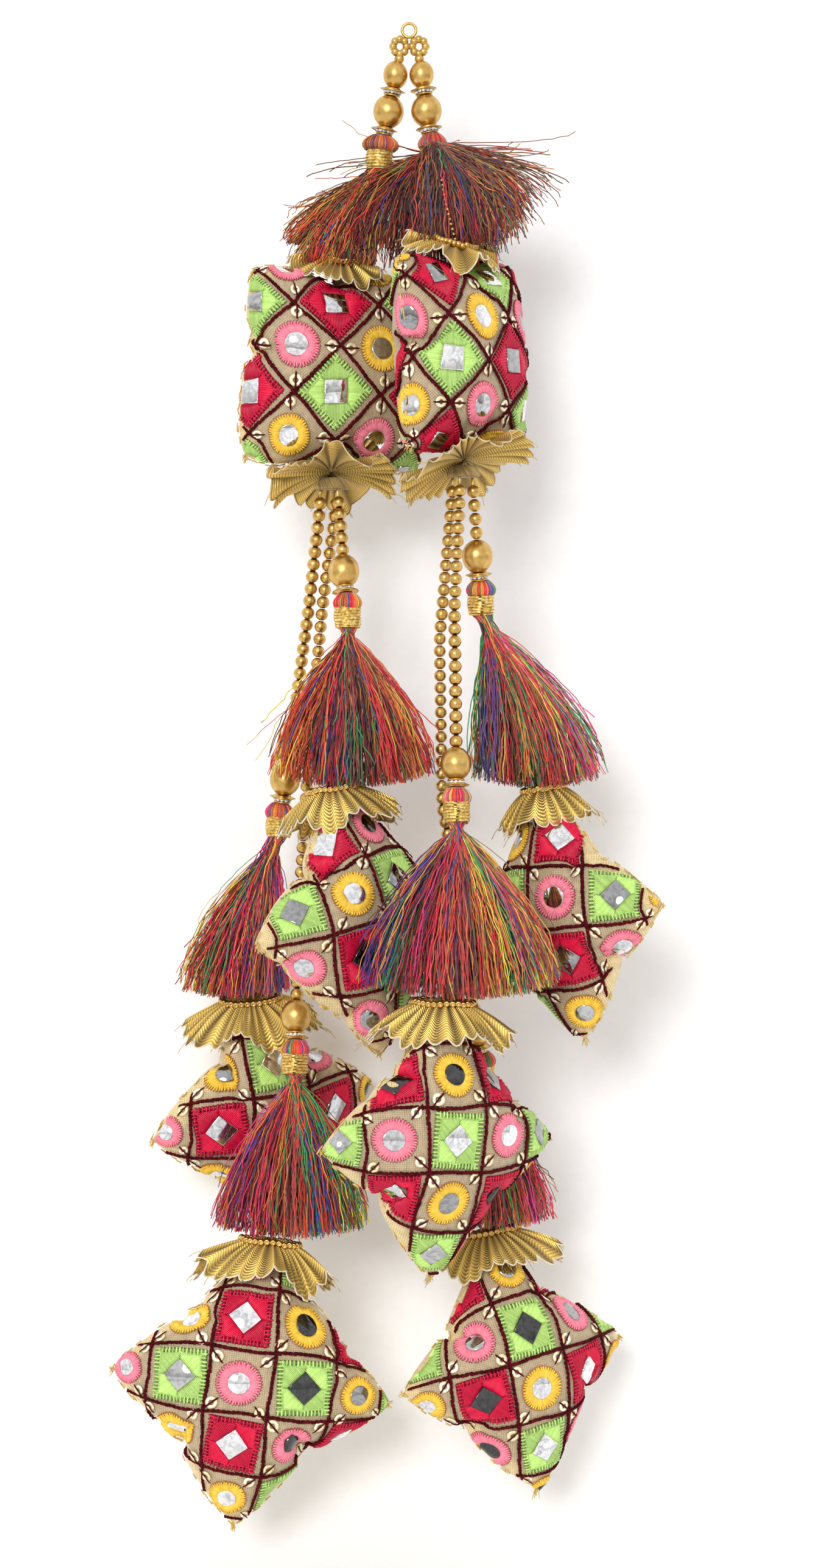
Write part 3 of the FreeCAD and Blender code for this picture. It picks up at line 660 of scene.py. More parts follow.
class LATKAN_OT_tassels(bpy.types.Operator):
    """Hangs the silk skirts, their wound necks and their heads"""

    bl_idname = "latkan.tassels"
    bl_label = "Tassels"
    bl_options = {"REGISTER", "UNDO"}

    def execute(self, context):
        sizes = context.scene.latkan_sizes
        for number, name in enumerate(("left_hanger", "right_hanger") + STRANDS):
            luck = np.random.default_rng(4100 + number)
            tassel = solids_of(name + "_tassel")[0]
            neck = middle_of(solids_of(name + "_binding")[0])
            top = tassel[tassel[:, 2] > tassel[:, 2].max() - 1.2].mean(axis=0)
            lean = unit(neck - top)
            hem = tassel[tassel[:, 2] < tassel[:, 2].min() + 0.6]
            rim = middle_of(hem)
            spread = (hem.max(axis=0) - hem.min(axis=0)) / 2
            self.wind(name, neck, lean, luck)
            heap = Heap()
            self.head(heap, name, top, neck, lean, luck)
            self.skirt(heap, name, neck, lean, rim, spread, sizes, luck)
            piece = heap.make("Silk_" + name, ["silk", "gilt"])
            settle(piece, body_of(name + "_tassel"), "silk_thread", name + "_tassel")
        return {"FINISHED"}

    def wind(self, name, neck, lean, luck):
        """The neck's gilt winding: one long thread laid round and round over a core."""
        heap = Heap()
        half, core, mouth = 3.7, 4.1, 3.4
        turns, wind_radius, gilt_radius = 15, 4.25, 0.28
        first = unit(np.cross(lean, [0, 1, 0]))
        second = np.cross(lean, first)
        heap.add(*turned([(-half, mouth), (-half * 0.6, core), (half * 0.6, core), (half, mouth)], neck, lean))
        turn = np.linspace(0, 2 * np.pi * turns, turns * 22)
        height = np.linspace(-half, half, len(turn)) + 0.12 * np.sin(turn * 0.5 + luck.random() * 6)
        radius = wind_radius + 0.12 * np.sin(turn * 3.1) - 0.5 * (np.abs(height) / half) ** 4
        path = (neck + lean * height[:, None] + first * (radius * np.cos(turn))[:, None]
                + second * (radius * np.sin(turn))[:, None])
        heap.add(*strands(path[None], gilt_radius, 4))
        settle(heap.make("Winding_" + name, ["zari"]), body_of(name + "_binding"), "gold_thread",
               name + "_binding")

    def head(self, heap, name, top, neck, lean, luck):
        """The knob above the neck, where the doubled threads turn over."""
        length = float(np.dot(neck - top, lean)) - 2.6
        first = unit(np.cross(lean, [0, 1, 0]))
        second = np.cross(lean, first)
        heap.add(*turned([(0, 1.4), (length * 0.2, 3.3), (length * 0.55, 4.1), (length, 3.6)], top, lean),
                 shade=srgb(SILK["wine"]))
        count = 150
        turn = 2 * np.pi * (np.arange(count) + luck.random(count)) / count
        bow = np.linspace(0, 1, 6)
        plump = 4.6 if name == "left_hanger" else 3.3
        radius = 1.3 + plump * np.sin(np.pi * (0.1 + 0.62 * bow)) + luck.normal(0, 0.09, (count, 1))
        out = first * np.cos(turn)[:, None] + second * np.sin(turn)[:, None]
        path = top + lean * (bow * length)[:, None] + out[:, None] * radius[..., None]
        colours = dye_for(name, -out[:, 0], luck)
        points, faces = strands(path, 0.24, 3)
        heap.add(points, faces, shade=np.repeat(colours, 18, axis=0))

    def skirt(self, heap, name, neck, lean, rim, spread, sizes, luck):
        """Threads in loose locks that fan out from the neck to an uneven hem, with a few flyaway ends."""
        burst = name == "right_hanger"
        count = int(sizes.thread_count * (1.5 if burst else 1.2 if name == "right_middle" else 1.0))
        locks, steps = 120, 18
        loose_share, flyaway_share = 0.3, 0.035
        angle, reach = luck.random(locks) * 2 * np.pi, np.sqrt(luck.random(locks))
        lock = luck.integers(0, locks, count)
        free = luck.random(count) < loose_share
        turn = np.where(free, luck.random(count) * 2 * np.pi, angle[lock] + luck.normal(0, 0.09, count))
        share = np.where(free, np.sqrt(luck.random(count)), reach[lock] + luck.normal(0, 0.05, count))
        share = np.clip(share, 0, 1.05)
        across, deep = share * np.cos(turn), share * np.sin(turn)
        fly = luck.random(count) < flyaway_share
        end = np.empty((count, 3))
        first = unit(np.cross(lean, [0, 1, 0])) * -1
        second = np.array([0.0, 1.0, 0.0])
        if burst:
            half_width, lowest, front_hem = 36.0, -79, -72
            end[:, 0] = rim[0] - 1 + half_width * across
            end[:, 1] = rim[1] + 3 + (spread[1] + 2) * deep
            rise = np.where(across > 0, 27 * across ** 2, 16 * across ** 2)
            end[:, 2] = lowest + rise + luck.normal(0, 2.5, count) + luck.exponential(5.0, count)
            end[:, 2] = np.where(end[:, 1] < rim[1] + 3, np.maximum(end[:, 2], front_hem), end[:, 2])
            end[:, 0] += luck.normal(0, 3.0, count)
            # The left side drops behind the other half's head and winding.
            back = 7.0 * np.clip(-across * 3, 0, 1)
            end[:, 1] += back
            begin = (neck - lean * 3.4 + first * (4.6 * np.cos(turn))[:, None]
                     + second * (4.6 * np.sin(turn))[:, None])
            side = unit(np.stack([across * 1.6, deep * 0.5, 0 * deep], -1) + 1e-6)
            shoulder = (begin + side * luck.uniform(5, 13, (count, 1))
                        + np.array([0, 0, 1.0]) * luck.uniform(-3.5, 3.5, (count, 1)))
            shoulder[:, 1] += back
            shoulder[:, 2] -= 5.5 * np.clip(-across * 3, 0, 1)
            knee = begin + (end - begin) * np.array([0.86, 0.9, 0.42])
        else:
            end[:, 0] = rim[0] + (spread[0] + 1.2) * across
            end[:, 1] = rim[1] + (spread[1] + 0.8) * deep
            # The hem hangs over the top of the rosette below and hides its stalk.
            hem_drop = 6.0
            end[:, 2] = rim[2] + 0.16 * spread[0] * across ** 2 + luck.exponential(3.2, count) - hem_drop
            end[:, :2] += luck.normal(0, 1.0, (count, 2))
            if name == "left_hanger":
                clear = np.abs(end[:, 1] - rim[1]) > 4.5
                end[:, 2] += np.where(clear, -5.0, 2.0)
            start = neck + lean * 3.2
            begin = start + first * (3.5 * across)[:, None] + second * (3.5 * deep)[:, None]
            run = np.linalg.norm(end - begin, axis=1)[:, None]
            shoulder = begin + lean * run * 0.16 + (end - begin) * np.array([0.34, 0.34, 0.0])
            knee = begin + (end - begin) * np.array([0.82, 0.82, 0.55])
        end[:, 0] += np.where(fly, np.sign(across) * luck.uniform(1, 8, count), 0)
        end[:, 2] += np.where(fly, luck.uniform(2, 16, count), 0)
        knee += luck.normal(0, 0.6, (locks, 3))[lock] * np.array([1.6, 1.0, 0.4])
        step = np.linspace(0, 1, steps)[None, :, None]
        path = ((1 - step) ** 3 * begin[:, None] + 3 * step * (1 - step) ** 2 * shoulder[:, None]
                + 3 * step ** 2 * (1 - step) * knee[:, None] + step ** 3 * end[:, None])
        sway, own = luck.normal(0, 1, (locks, 2, 3))[lock], luck.normal(0, 1, (count, 5, 3))
        for wave in range(5):
            swing = np.sin(np.pi * (wave + 1) * step) / (1 + 0.35 * wave)
            shared_swing = 0.55 * sway[:, wave][:, None] if wave < 2 else 0
            path += swing * (shared_swing + 0.5 * own[:, wave][:, None]) * np.array([1, 0.7, 0.3])
        # Small kinks from the twist, which grow away from the neck.
        kinks = luck.normal(0, 1, (count, steps, 3)) * np.linspace(0, 1, steps)[None, :, None] ** 0.5
        path += kinks * np.array([0.34, 0.25, 0.1])
        # Space-dyed silk changes colour along its length, and threads deep in the skirt are darkened with
        # painted shade.
        change = np.sort(luck.random((count, 2)) * steps, axis=1)
        shared, alone, third = (dye_for(name, across, luck) for _ in range(3))
        shared = np.where((luck.random(count) < 0.5)[:, None],
                          dye_for(name, reach * np.cos(angle), luck)[lock], shared)
        place = np.arange(steps)[None, :, None]
        colours = np.where(place < change[:, :1, None], shared[:, None],
                           np.where(place < change[:, 1:, None], alone[:, None], third[:, None]))
        # Painted shade for threads deep in the skirt; in the burst skirt its level is picked at random
        # instead.
        outer = (np.clip(0.25 + 0.85 * share ** 1.5, 0.2, 1.0) if not burst
                 else luck.choice([0.3, 0.6, 1.0], count))
        tone = np.where(luck.random(count) < 0.25, luck.uniform(0.15, 0.45, count),
                        luck.uniform(0.8, 1.5, count))
        colours = np.clip(colours * (tone * outer)[:, None, None], 0, 0.95)
        radius = (sizes.thread_width * 500 * np.linspace(1.0, 0.8, steps)[None]
                  * luck.uniform(0.75, 1.25, (count, 1)))
        points, faces = strands(path, radius, 3)
        heap.add(points, faces, shade=np.repeat(colours, 3, axis=1).reshape(-1, 3))
        if burst:
            self.chain(heap, name)
        self.core(heap, neck, lean, rim, spread)

    def core(self, heap, neck, lean, rim, spread):
        """A dark bell of painted shade inside the skirt, so that no light shows between the threads."""
        # Each ring has its share of the way down, then its share of the skirt's half width.
        # The ring at the neck has its radius in millimetres instead.
        bell = [(0, 1.6), (0.3, 0.11), (0.6, 0.33), (0.8, 0.38), (0.88, 0.2)]
        rings = []
        start = neck + lean * 3.2
        turn = 2 * np.pi * np.arange(24) / 24
        for level, part in bell:
            size = np.array([part, part]) if level == 0 else np.maximum(spread[:2] * part, 2.6)
            rings.append(start + (rim - start) * level
                         + np.stack([size[0] * np.cos(turn), size[1] * np.sin(turn), 0 * turn], -1))
        points = np.concatenate(rings)
        index = np.arange(len(points)).reshape(len(bell), 24)
        low, high = index[:-1], index[1:]
        walls = np.stack([low, high, np.roll(high, -1, 1), np.roll(low, -1, 1)], -1).reshape(-1, 4)
        # The bell's dark wine is painted shade.
        heap.add(points, walls, shade=srgb("#2C0810"))

    def chain(self, heap, name):
        """A fine chain of tiny gilt beads that hangs down the front of the burst skirt."""
        low, high = (np.array(corner) * 1000 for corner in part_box(name + "_binding"))
        step = np.linspace(0, 1, 22)[:, None]
        begin = np.array([(low[0] + high[0]) / 2 + 1.5, low[1] - 2.0, high[2] - 2])
        path = begin + step * np.array([6.5, -6.5, -34]) + np.sin(step * np.pi) * np.array([-1.0, -2.6, 0])
        bead = model_bead(8, 6)
        for spot in path:
            heap.add(placed(bead[0], spot, [0, 0, 1], 0.62), bead[1], slot=1)


# ---- Rosettes ----
class LATKAN_OT_rosettes(bpy.types.Operator):
    """Gathers the ribbon rosettes and lays their ring of beads"""

    bl_idname = "latkan.rosettes"
    bl_label = "Pleated Rosettes"
    bl_options = {"REGISTER", "UNDO"}

    def execute(self, context):
        bead = model_bead(10, 7)
        nodes = [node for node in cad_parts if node.endswith("_rosette")]
        for number, node in enumerate(nodes):
            luck = np.random.default_rng(7300 + number)
            parts = sorted(solids_of(node), key=len, reverse=True)
            disc, hangers = parts[0], parts[1:]
            stem = max(hangers, key=lambda other: np.ptp(other[:, 2]) if np.ptp(other[:, 0]) < 9 else 0)
            tip = stem[:, 2].min()
            crown = stem[stem[:, 2] < tip + 0.7].mean(axis=0)
            far = np.argsort(np.linalg.norm(disc - crown, axis=1))[-int(len(disc) * 0.4):]
            rim = disc[far]
            hoop = rim.mean(axis=0)
            normal = unit(crown - hoop)
            spin = rim - hoop
            across = np.linalg.svd(spin, full_matrices=False)[2][0]
            across = unit(across - normal * across.dot(normal)) * (1 if across[0] > 0 else -1)
            along = np.cross(normal, across)
            half = np.array([np.abs(spin @ across).max(), np.abs(spin @ along).max()]) / 1.05
            drop = np.linalg.norm(crown - hoop)
            self.gather(node, crown, normal, across, along, half, drop, bead, luck, parts[1:])
        return {"FINISHED"}

    def gather(self, node, crown, normal, across, along, half, drop, bead, luck, others):
        """A strip of ribbon pleated round its middle, which droops from the crown like an umbrella."""
        pleats = int(round(half[0] * 1.35))
        turns, levels = pleats * 8, 15
        turn = 2 * np.pi * np.arange(turns) / turns
        share = np.linspace(0.03, 1, levels)[:, None]
        phase = (turn + 0.10 * np.sin(3 * turn + luck.random() * 6)
                 + 0.06 * np.sin(5 * turn + luck.random() * 6))
        fold = np.sin(pleats * phase) + 0.22 * np.sin(2 * pleats * phase + luck.random() * 6)
        depth = luck.uniform(0.7, 1.2, pleats)[(turn / (2 * np.pi) * pleats).astype(int) % pleats]
        wave = fold * depth
        ruffle = np.sin(5 * turn + luck.random() * 6) + 0.7 * np.sin(8 * turn + luck.random() * 6)
        flop = luck.uniform(1.2, 3.2)
        radial = share * (1 - 0.04 * (share ** 2) * wave)
        height = (-drop * share ** 2.0 + np.minimum(0.3 + 0.75 * share, 6 * share) * wave
                  + flop * share ** 3 * ruffle)
        angle = turn + 0.03 * np.cos(pleats * phase) * share
        place = (crown + across * (half[0] * radial * np.cos(angle))[..., None]
                 + along * (half[1] * radial * np.sin(angle))[..., None] + normal * height[..., None])
        thick = bpy.context.scene.latkan_sizes.ribbon_thickness * 1000
        heap = Heap()
        index = np.arange(levels * turns).reshape(levels, turns)
        low, high = index[:-1], index[1:]
        top = np.stack([low, high, np.roll(high, -1, 1), np.roll(low, -1, 1)], -1).reshape(-1, 4)
        # The ribbon's flat coordinates: along its length by the pleats, across it from the middle to the rim.
        ribs = np.stack([np.broadcast_to(share * half[0] / 100, radial.shape),
                         np.broadcast_to(turn / (2 * np.pi) * pleats * 0.12, radial.shape)],
                        -1).reshape(-1, 2)
        # Painted shade and light: crests of the pleats brighter, valleys and the crown darker.
        painted_pleat_shade = np.clip(0.84 + 0.42 * wave, 0.22, 1.35)[None, :] * (0.62 + 0.45 * share)
        shade = np.repeat(painted_pleat_shade.reshape(-1, 1), 3, axis=1)
        heap.add(place.reshape(-1, 3), top, slot=0, flat=ribs, shade=shade)
        # Painted shade on the underside: darker where the top has its crests, and towards the crown.
        painted_underside_shade = np.clip(0.8 - 0.42 * wave, 0.22, 1.35)[None, :] * (0.62 + 0.45 * share)
        heap.add((place - normal * thick).reshape(-1, 3), top[:, ::-1], slot=1, flat=ribs,
                 shade=np.repeat(painted_underside_shade.reshape(-1, 1), 3, axis=1))
        count = levels * turns
        edge = index[-1]
        rim = np.stack([edge, edge + count, np.roll(edge, -1) + count, np.roll(edge, -1)], -1)
        heap.faces.append(rim)
        heap.slots.append(np.full(len(rim), 1))
        cloth = heap.make("Ribbon_" + node, ["ribbon", "lining"])
        settle(cloth, body_of(node), "gold_ribbon", node)
        trim = Heap()
        selvage = place[-1] + unit(place[-1] - crown) * 0.1 - normal * thick / 2
        selvage = np.concatenate([selvage, selvage[:2]])
        cream = "#D8C08C" if "base" in node else "#EADFC4"
        trim.add(*strands(selvage[None], 0.25, 4), shade=srgb(cream), slot=1)
        if "base" not in node:
            circle = 0.42
            for step in 2 * np.pi * np.arange(30) / 30:
                level = int(circle * levels)
                crest = height[level, int(step / (2 * np.pi) * turns) % turns]
                lift = crest * 0.3 - 0.7 * drop * circle ** 2 + 1.1
                spot = crown + across * (half[0] * circle * math.cos(step)) \
                    + along * (half[1] * circle * math.sin(step)) + normal * lift
                trim.add(placed(bead[0], spot, along, 1.2), bead[1], slot=0)
        for other in others:
            extent = other.max(axis=0) - other.min(axis=0)
            middle = middle_of(other)
            if extent.max() < 4.2 and extent.min() > 1.5 and np.linalg.norm(middle - crown) > 4:
                continue
            long = thin_axis(other)[1]
            if extent.min() < 1.2:
                path = middle + long * np.linspace(-0.5, 0.5, 4)[:, None] * np.linalg.norm(extent)
                trim.add(*strands(path[None], 0.45, 4), shade=srgb("#B89A50"), slot=1)
            else:
                self.knot(trim, other, luck)
        fringe = 26
        pick = luck.integers(0, turns, fringe)
        root = place[-1, pick]
        out = unit(root - crown) + luck.normal(0, 0.35, (fringe, 3))
        reach = luck.uniform(0.8, 3.2, (fringe, 1, 1))
        step = np.linspace(0, 1, 4)[None, :, None]
        path = root[:, None] + out[:, None] * reach * step - np.array([0, 0, 1.0]) * reach * step ** 2 * 0.5
        trim.add(*strands(path, 0.13, 3), shade=srgb("#C8A860"), slot=1)
        piece = trim.make("Trim_" + node, ["gilt", "silk"])
        settle(piece, body_of(node), "gold_bead")

    def knot(self, trim, solid, luck):
        """A gathered stalk or knot: close gilt threads over a dark core of painted shade."""
        low, high = solid[:, 2].min(), solid[:, 2].max()
        middle = middle_of(solid)
        wide = (solid[:, 0].max() - solid[:, 0].min()) / 2
        top_wide = np.linalg.norm((solid[solid[:, 2] > high - 0.8] - middle)[:, :2], axis=1).max()
        low_wide = np.linalg.norm((solid[solid[:, 2] < low + 0.8] - middle)[:, :2], axis=1).max()
        count = int(26 * max(wide, 2) / 2)
        turn = 2 * np.pi * (np.arange(count) + luck.random(count) * 0.5) / count
        step = np.linspace(0, 1, 5)
        radius = top_wide + (low_wide - top_wide) * step + 0.25 * np.sin(np.pi * step)
        radius = radius[None] + luck.normal(0, 0.05, (count, 1))
        swirl = turn[:, None] + 0.4 * step[None]
        path = np.stack([middle[0] + radius * np.cos(swirl), middle[1] + radius * np.sin(swirl),
                         np.broadcast_to(high + (low - high) * step, radius.shape)], -1)
        # The core's dark gold is painted shade between the threads.
        trim.add(*turned([(0, top_wide * 0.93), (high - low, low_wide * 0.93)],
                         np.array([middle[0], middle[1], high]), [0, 0, -1], 16), shade=srgb("#8A6C34"),
                         slot=1)
        shade = np.array(srgb("#C8A65A"))[:3] * luck.uniform(0.5, 1.1, (count, 1))
        trim.add(*strands(path, 0.2, 3), shade=np.repeat(shade, 15, axis=0), slot=1)


# ---- Cushions ----
GRID = 36
# How far the middle of a side is drawn in between its corners, as a share of its distance from the middle.
PULL = 0.07
# Length of the cloth from the middle to the seam, against the straight distance.
SLACK = 1.14
# Motifs by place on the lattice, as (right, up): C crimson square, L lime square, P pink ring, Y yellow ring.
CUSHIONS = {
    "left_long": {"turn": 1, "shift": (-4, 2), "motifs": {
        (0, 0): "P", (0, 1): "C", (-1, 0): "L", (1, 0): "L", (0, -1): "C", (1, 1): "Y", (-1, 1): "Y",
        (-1, -1): "Y", (1, -1): "P", (-2, 0): "P", (2, 0): "Y", (0, -2): "Y", (0, 2): "P", (1, 2): "L",
        (2, 1): "C", (-2, -1): "C", (-1, -2): "L", (-2, 1): "C"}},
    "right_long": {"turn": 1, "shift": (1, -7), "motifs": {
        (0, 0): "Y", (0, 1): "L", (0, -1): "L", (-1, 0): "C", (1, 0): "C", (-1, 1): "P", (1, 1): "P",
        (1, -1): "P", (-1, -1): "P", (0, 2): "Y", (1, 2): "C", (2, 1): "L", (-2, 0): "Y", (2, 0): "Y",
        (0, -2): "Y", (-1, 2): "C", (-2, 1): "L"}},
    "right_middle": {"turn": -1, "shift": (-2, 3), "motifs": {
        (0, 0): "L", (1, 0): "P", (-1, 0): "P", (2, 0): "L", (-2, 0): "L", (0, 1): "Y", (1, 1): "C",
        (0, -1): "Y", (-1, -1): "C", (1, -1): "C", (-1, 1): "C", (0, -2): "L", (0, 2): "L", (1, -2): "P",
        (2, 1): "Y", (-2, -1): "Y", (-1, -2): "P", (2, -1): "Y"}},
    "left_short": {"turn": 5, "shift": (-11, 9), "motifs": {
        (0, 0): "Y", (1, 0): "L", (2, 0): "P", (0, -1): "C", (1, 1): "P", (2, 1): "C", (-1, -1): "P",
        (0, -2): "P", (1, -1): "Y", (1, -2): "L", (-1, 0): "L", (0, 1): "C", (-1, 1): "Y", (-1, -2): "C",
        (0, 2): "P", (2, -1): "C", (-2, -1): "L", (0, -3): "Y", (2, -2): "Y", (1, -3): "C", (3, -1): "L"}},
    "right_short": {"turn": -3, "shift": (8, 7), "motifs": {
        (0, 0): "P", (0, 1): "C", (1, 0): "L", (-1, 0): "L", (0, -1): "C", (1, 1): "Y", (1, -1): "P",
        (-1, -1): "Y", (0, -2): "Y", (2, 0): "Y", (-1, 1): "Y", (-2, 0): "P", (0, 2): "P", (-1, -2): "L",
        (-2, -1): "C", (-2, 1): "C", (-3, 0): "L", (0, -3): "C"}},
    "left_middle": {"turn": -4, "shift": (1, 1), "motifs": {
        (0, 0): "P", (-1, 0): "C", (0, 1): "L", (0, -1): "L", (1, 0): "C", (-1, 1): "Y", (-1, -1): "Y",
        (1, 1): "P", (1, -1): "Y", (-2, 0): "P", (2, 0): "Y", (0, 2): "Y", (0, -2): "Y", (-2, 1): "L"}},
    "left_upper": {"turn": 2, "shift": (3, -8), "motifs": {
        (0, 0): "L", (0, 1): "Y", (-1, 0): "P", (-1, 1): "C", (-2, 1): "P", (1, 0): "P", (1, 1): "C",
        (0, 2): "L", (0, -1): "Y", (-2, 0): "L", (2, 1): "Y", (-1, -1): "C", (1, -1): "L", (-1, 2): "Y",
        (2, 0): "L"}},
    "right_upper": {"turn": 0, "shift": (-12, 4), "motifs": {
        (0, 0): "Y", (-1, 0): "C", (0, 1): "L", (0, -1): "L", (1, 0): "C", (1, 1): "P", (1, -1): "P",
        (2, 0): "L", (2, -1): "Y", (-1, 1): "Y", (2, 1): "Y", (-1, -1): "P", (0, -2): "Y", (0, 2): "P"}},
}


def stuffed_square(seed):
    """Front and back of a stuffed square bag: a square grid with corners at distance 1 and a crown of 1."""
    luck = np.random.default_rng(seed)
    side = np.linspace(-1, 1, GRID + 1)
    s, t = np.meshgrid(side, side, indexing="ij")
    right, up = (s - t) / 2, (s + t) / 2
    dome = (np.clip(1 - s ** 2, 0, 1) * np.clip(1 - t ** 2, 0, 1)) ** 0.5
    most, least = np.maximum(s ** 2, t ** 2), np.minimum(s ** 2, t ** 2)
    hollow = most * (1 - least)
    half = 0.42
    rumple = 0.012 * luck.normal(0, 1, s.shape)
    for _ in range(3):
        rumple[1:-1, 1:-1] = (rumple[:-2, 1:-1] + rumple[2:, 1:-1] + rumple[1:-1, :-2] + rumple[1:-1, 2:]) / 4
    front = np.stack([right, up, 0.10 * dome + np.abs(rumple) * dome], -1) * half
    back = front * np.array([1, 1, -1.0])
    size = (GRID + 1) ** 2
    index = np.arange(size).reshape(GRID + 1, GRID + 1)
    inner = index[1:-1, 1:-1]
    under = index.copy()
    under[1:-1, 1:-1] = size + np.arange(inner.size).reshape(inner.shape)
    points = np.concatenate([front.reshape(-1, 3), back[1:-1, 1:-1].reshape(-1, 3)])
    quads = [np.stack([grid[:-1, :-1], grid[1:, :-1], grid[1:, 1:], grid[:-1, 1:]], -1).reshape(-1, 4)
             for grid in (index, under)]
    faces = np.concatenate([quads[0], quads[1][:, ::-1]])
    mesh = bpy.data.meshes.new("Bag")
    mesh.from_pydata(points.tolist(), [], faces.tolist())
    bag = bpy.data.objects.new("Bag", mesh)
    scene = bpy.context.scene
    scene.collection.objects.link(bag)
    cloth = bag.modifiers.new("Cloth", "CLOTH")
    cloth.settings.quality = 6
    cloth.settings.mass = 0.25
    cloth.settings.tension_stiffness = 40
    cloth.settings.compression_stiffness = 30
    cloth.settings.bending_stiffness = 0.4
    cloth.settings.use_pressure = True
    cloth.settings.uniform_pressure_force = 6
    cloth.settings.effector_weights.gravity = 0
    cloth.collision_settings.use_collision = False
    cloth.point_cache.frame_start, cloth.point_cache.frame_end = 1, 20
    for step in range(1, 21):
        scene.frame_set(step)
    worked = bag.evaluated_get(bpy.context.evaluated_depsgraph_get())
    shaped = np.array([vertex.co for vertex in worked.data.vertices], float)
    bpy.data.objects.remove(bag)
    scene.frame_set(1)
    moved = shaped - points
    cap = 0.32 * half / np.maximum(np.linalg.norm(moved, axis=1, keepdims=True), 1e-9)
    shaped = points + moved * np.minimum(1, cap)
    corners = shaped[[index[-1, -1], index[0, 0], index[-1, 0], index[0, -1]]]
    reach = np.linalg.norm(corners - corners.mean(axis=0), axis=1).mean()
    shaped -= corners.mean(axis=0)
    scale = np.array([1 / reach, 1 / reach, 1 / np.abs(shaped[:, 2]).max()])
    shaped = shaped * scale
    layers = []
    for grid in (index, under):
        layer = shaped[grid]
        for corner, goal in (((-1, -1), (0, 1)), ((0, 0), (0, -1)), ((-1, 0), (1, 0)), ((0, -1), (-1, 0))):
            near = np.clip(1 - np.hypot(s - side[corner[0]], t - side[corner[1]]) / 1.2, 0, 1) ** 2
            gap = np.array([goal[0], goal[1], 0.0]) - layer[corner]
            layer = layer + near[..., None] * gap
        sides = np.linalg.norm([layer[GRID // 2, 0, :2], layer[GRID // 2, -1, :2], layer[0, GRID // 2, :2],
                                layer[-1, GRID // 2, :2]], axis=1)
        found = 1 - sides.mean() * math.sqrt(2)
        layer[..., :2] *= (1 + ((1 - PULL) / (1 - found) - 1) * hollow)[..., None]
        layers.append(layer)
    return layers


class Cushion:
    """One cushion's own frame: flat coordinates run right and up in millimetres from the middle."""

    def __init__(self, name, seed):
        solid = max(solids_of(name + "_cushion"), key=len)
        self.name = name
        self.centre = solid.mean(axis=0)
        away = solid - self.centre
        order = np.argsort(-np.linalg.norm(away, axis=1))
        corners = []
        for place in order:
            if all(np.linalg.norm(away[place] - other) > 15 for other in corners):
                corners.append(away[place])
            if len(corners) == 4:
                break
        self.centre = self.centre + np.mean(corners, axis=0)
        corners = [corner - np.mean(corners, axis=0) for corner in corners]
        score = [corner[2] + (0.2 * corner[0] if "upper" in name else 0) for corner in corners]
        up = corners[int(np.argmax(score))]
        sideways = [corner for corner in corners if abs(unit(corner).dot(unit(up))) < 0.5]
        right = max(sideways, key=lambda corner: np.cross(corner, up)[1] * -1)
        self.reach = (np.linalg.norm(up) + np.linalg.norm(right)) / 2
        self.up, self.right = unit(up), unit(right)
        self.out = unit(np.cross(self.right, self.up))
        self.crown = np.abs(away @ self.out).max()
        axes = np.array([self.right * self.reach, self.up * self.reach, self.out * self.crown])
        front, back = stuffed_square(seed)
        self.front = self.centre + front @ axes
        self.back = self.centre + back @ axes
        step_s = np.gradient(self.front, axis=0)
        step_t = np.gradient(self.front, axis=1)
        self.normals = unit(np.cross(step_s, step_t))
        if (self.normals[GRID // 2, GRID // 2] @ self.out) < 0:
            self.normals = -self.normals
        self.back_normals = unit(np.cross(np.gradient(self.back, axis=0), np.gradient(self.back, axis=1)))
        if (self.back_normals[GRID // 2, GRID // 2] @ self.out) > 0:
            self.back_normals = -self.back_normals
        # One cushion is turned so far that its embroidery shows beyond the seam.
        self.lap = 0.32 if name == "right_upper" else 0.0

    def wrap(self, points):
        """Lays flat points (right, up, height) on the front of the stuffed cushion."""
        points = np.asarray(points, float)
        (s, t), beyond = self.share(points)
        a, b = (s + 1) / 2 * GRID, (t + 1) / 2 * GRID
        i, j = np.minimum(a.astype(int), GRID - 1), np.minimum(b.astype(int), GRID - 1)
        u, v = (a - i)[..., None], (b - j)[..., None]

        def between(table):
            return ((1 - u) * (1 - v) * table[i, j] + u * (1 - v) * table[i + 1, j]
                    + (1 - u) * v * table[i, j + 1] + u * v * table[i + 1, j + 1])
        front = between(self.front) + unit(between(self.normals)) * points[..., 2:3]
        back = between(self.back) + unit(between(self.back_normals)) * points[..., 2:3]
        return np.where(beyond[..., None], back, front)

    def share(self, points):
        """Shares of the half side for flat points: the cloth curves away, so they shorten to the seam."""
        both = np.stack([points[..., 0] + points[..., 1], points[..., 1] - points[..., 0]]) / self.reach
        beyond = (np.abs(both) > SLACK).any(axis=0) & (self.lap > 0)
        folded = np.sign(both) * (2 * SLACK - np.abs(both))
        both = np.where((np.abs(both) > SLACK) & beyond, folded, np.clip(both, -SLACK, SLACK))
        limit = 0.999 if self.lap else 0.985
        return np.clip(both * (1 - 0.1 * both ** 2), -limit, limit), beyond

    def inside(self, points, margin):
        reach = self.reach * (SLACK + self.lap)
        return np.abs(points[..., 0]) + np.abs(points[..., 1]) < reach - margin


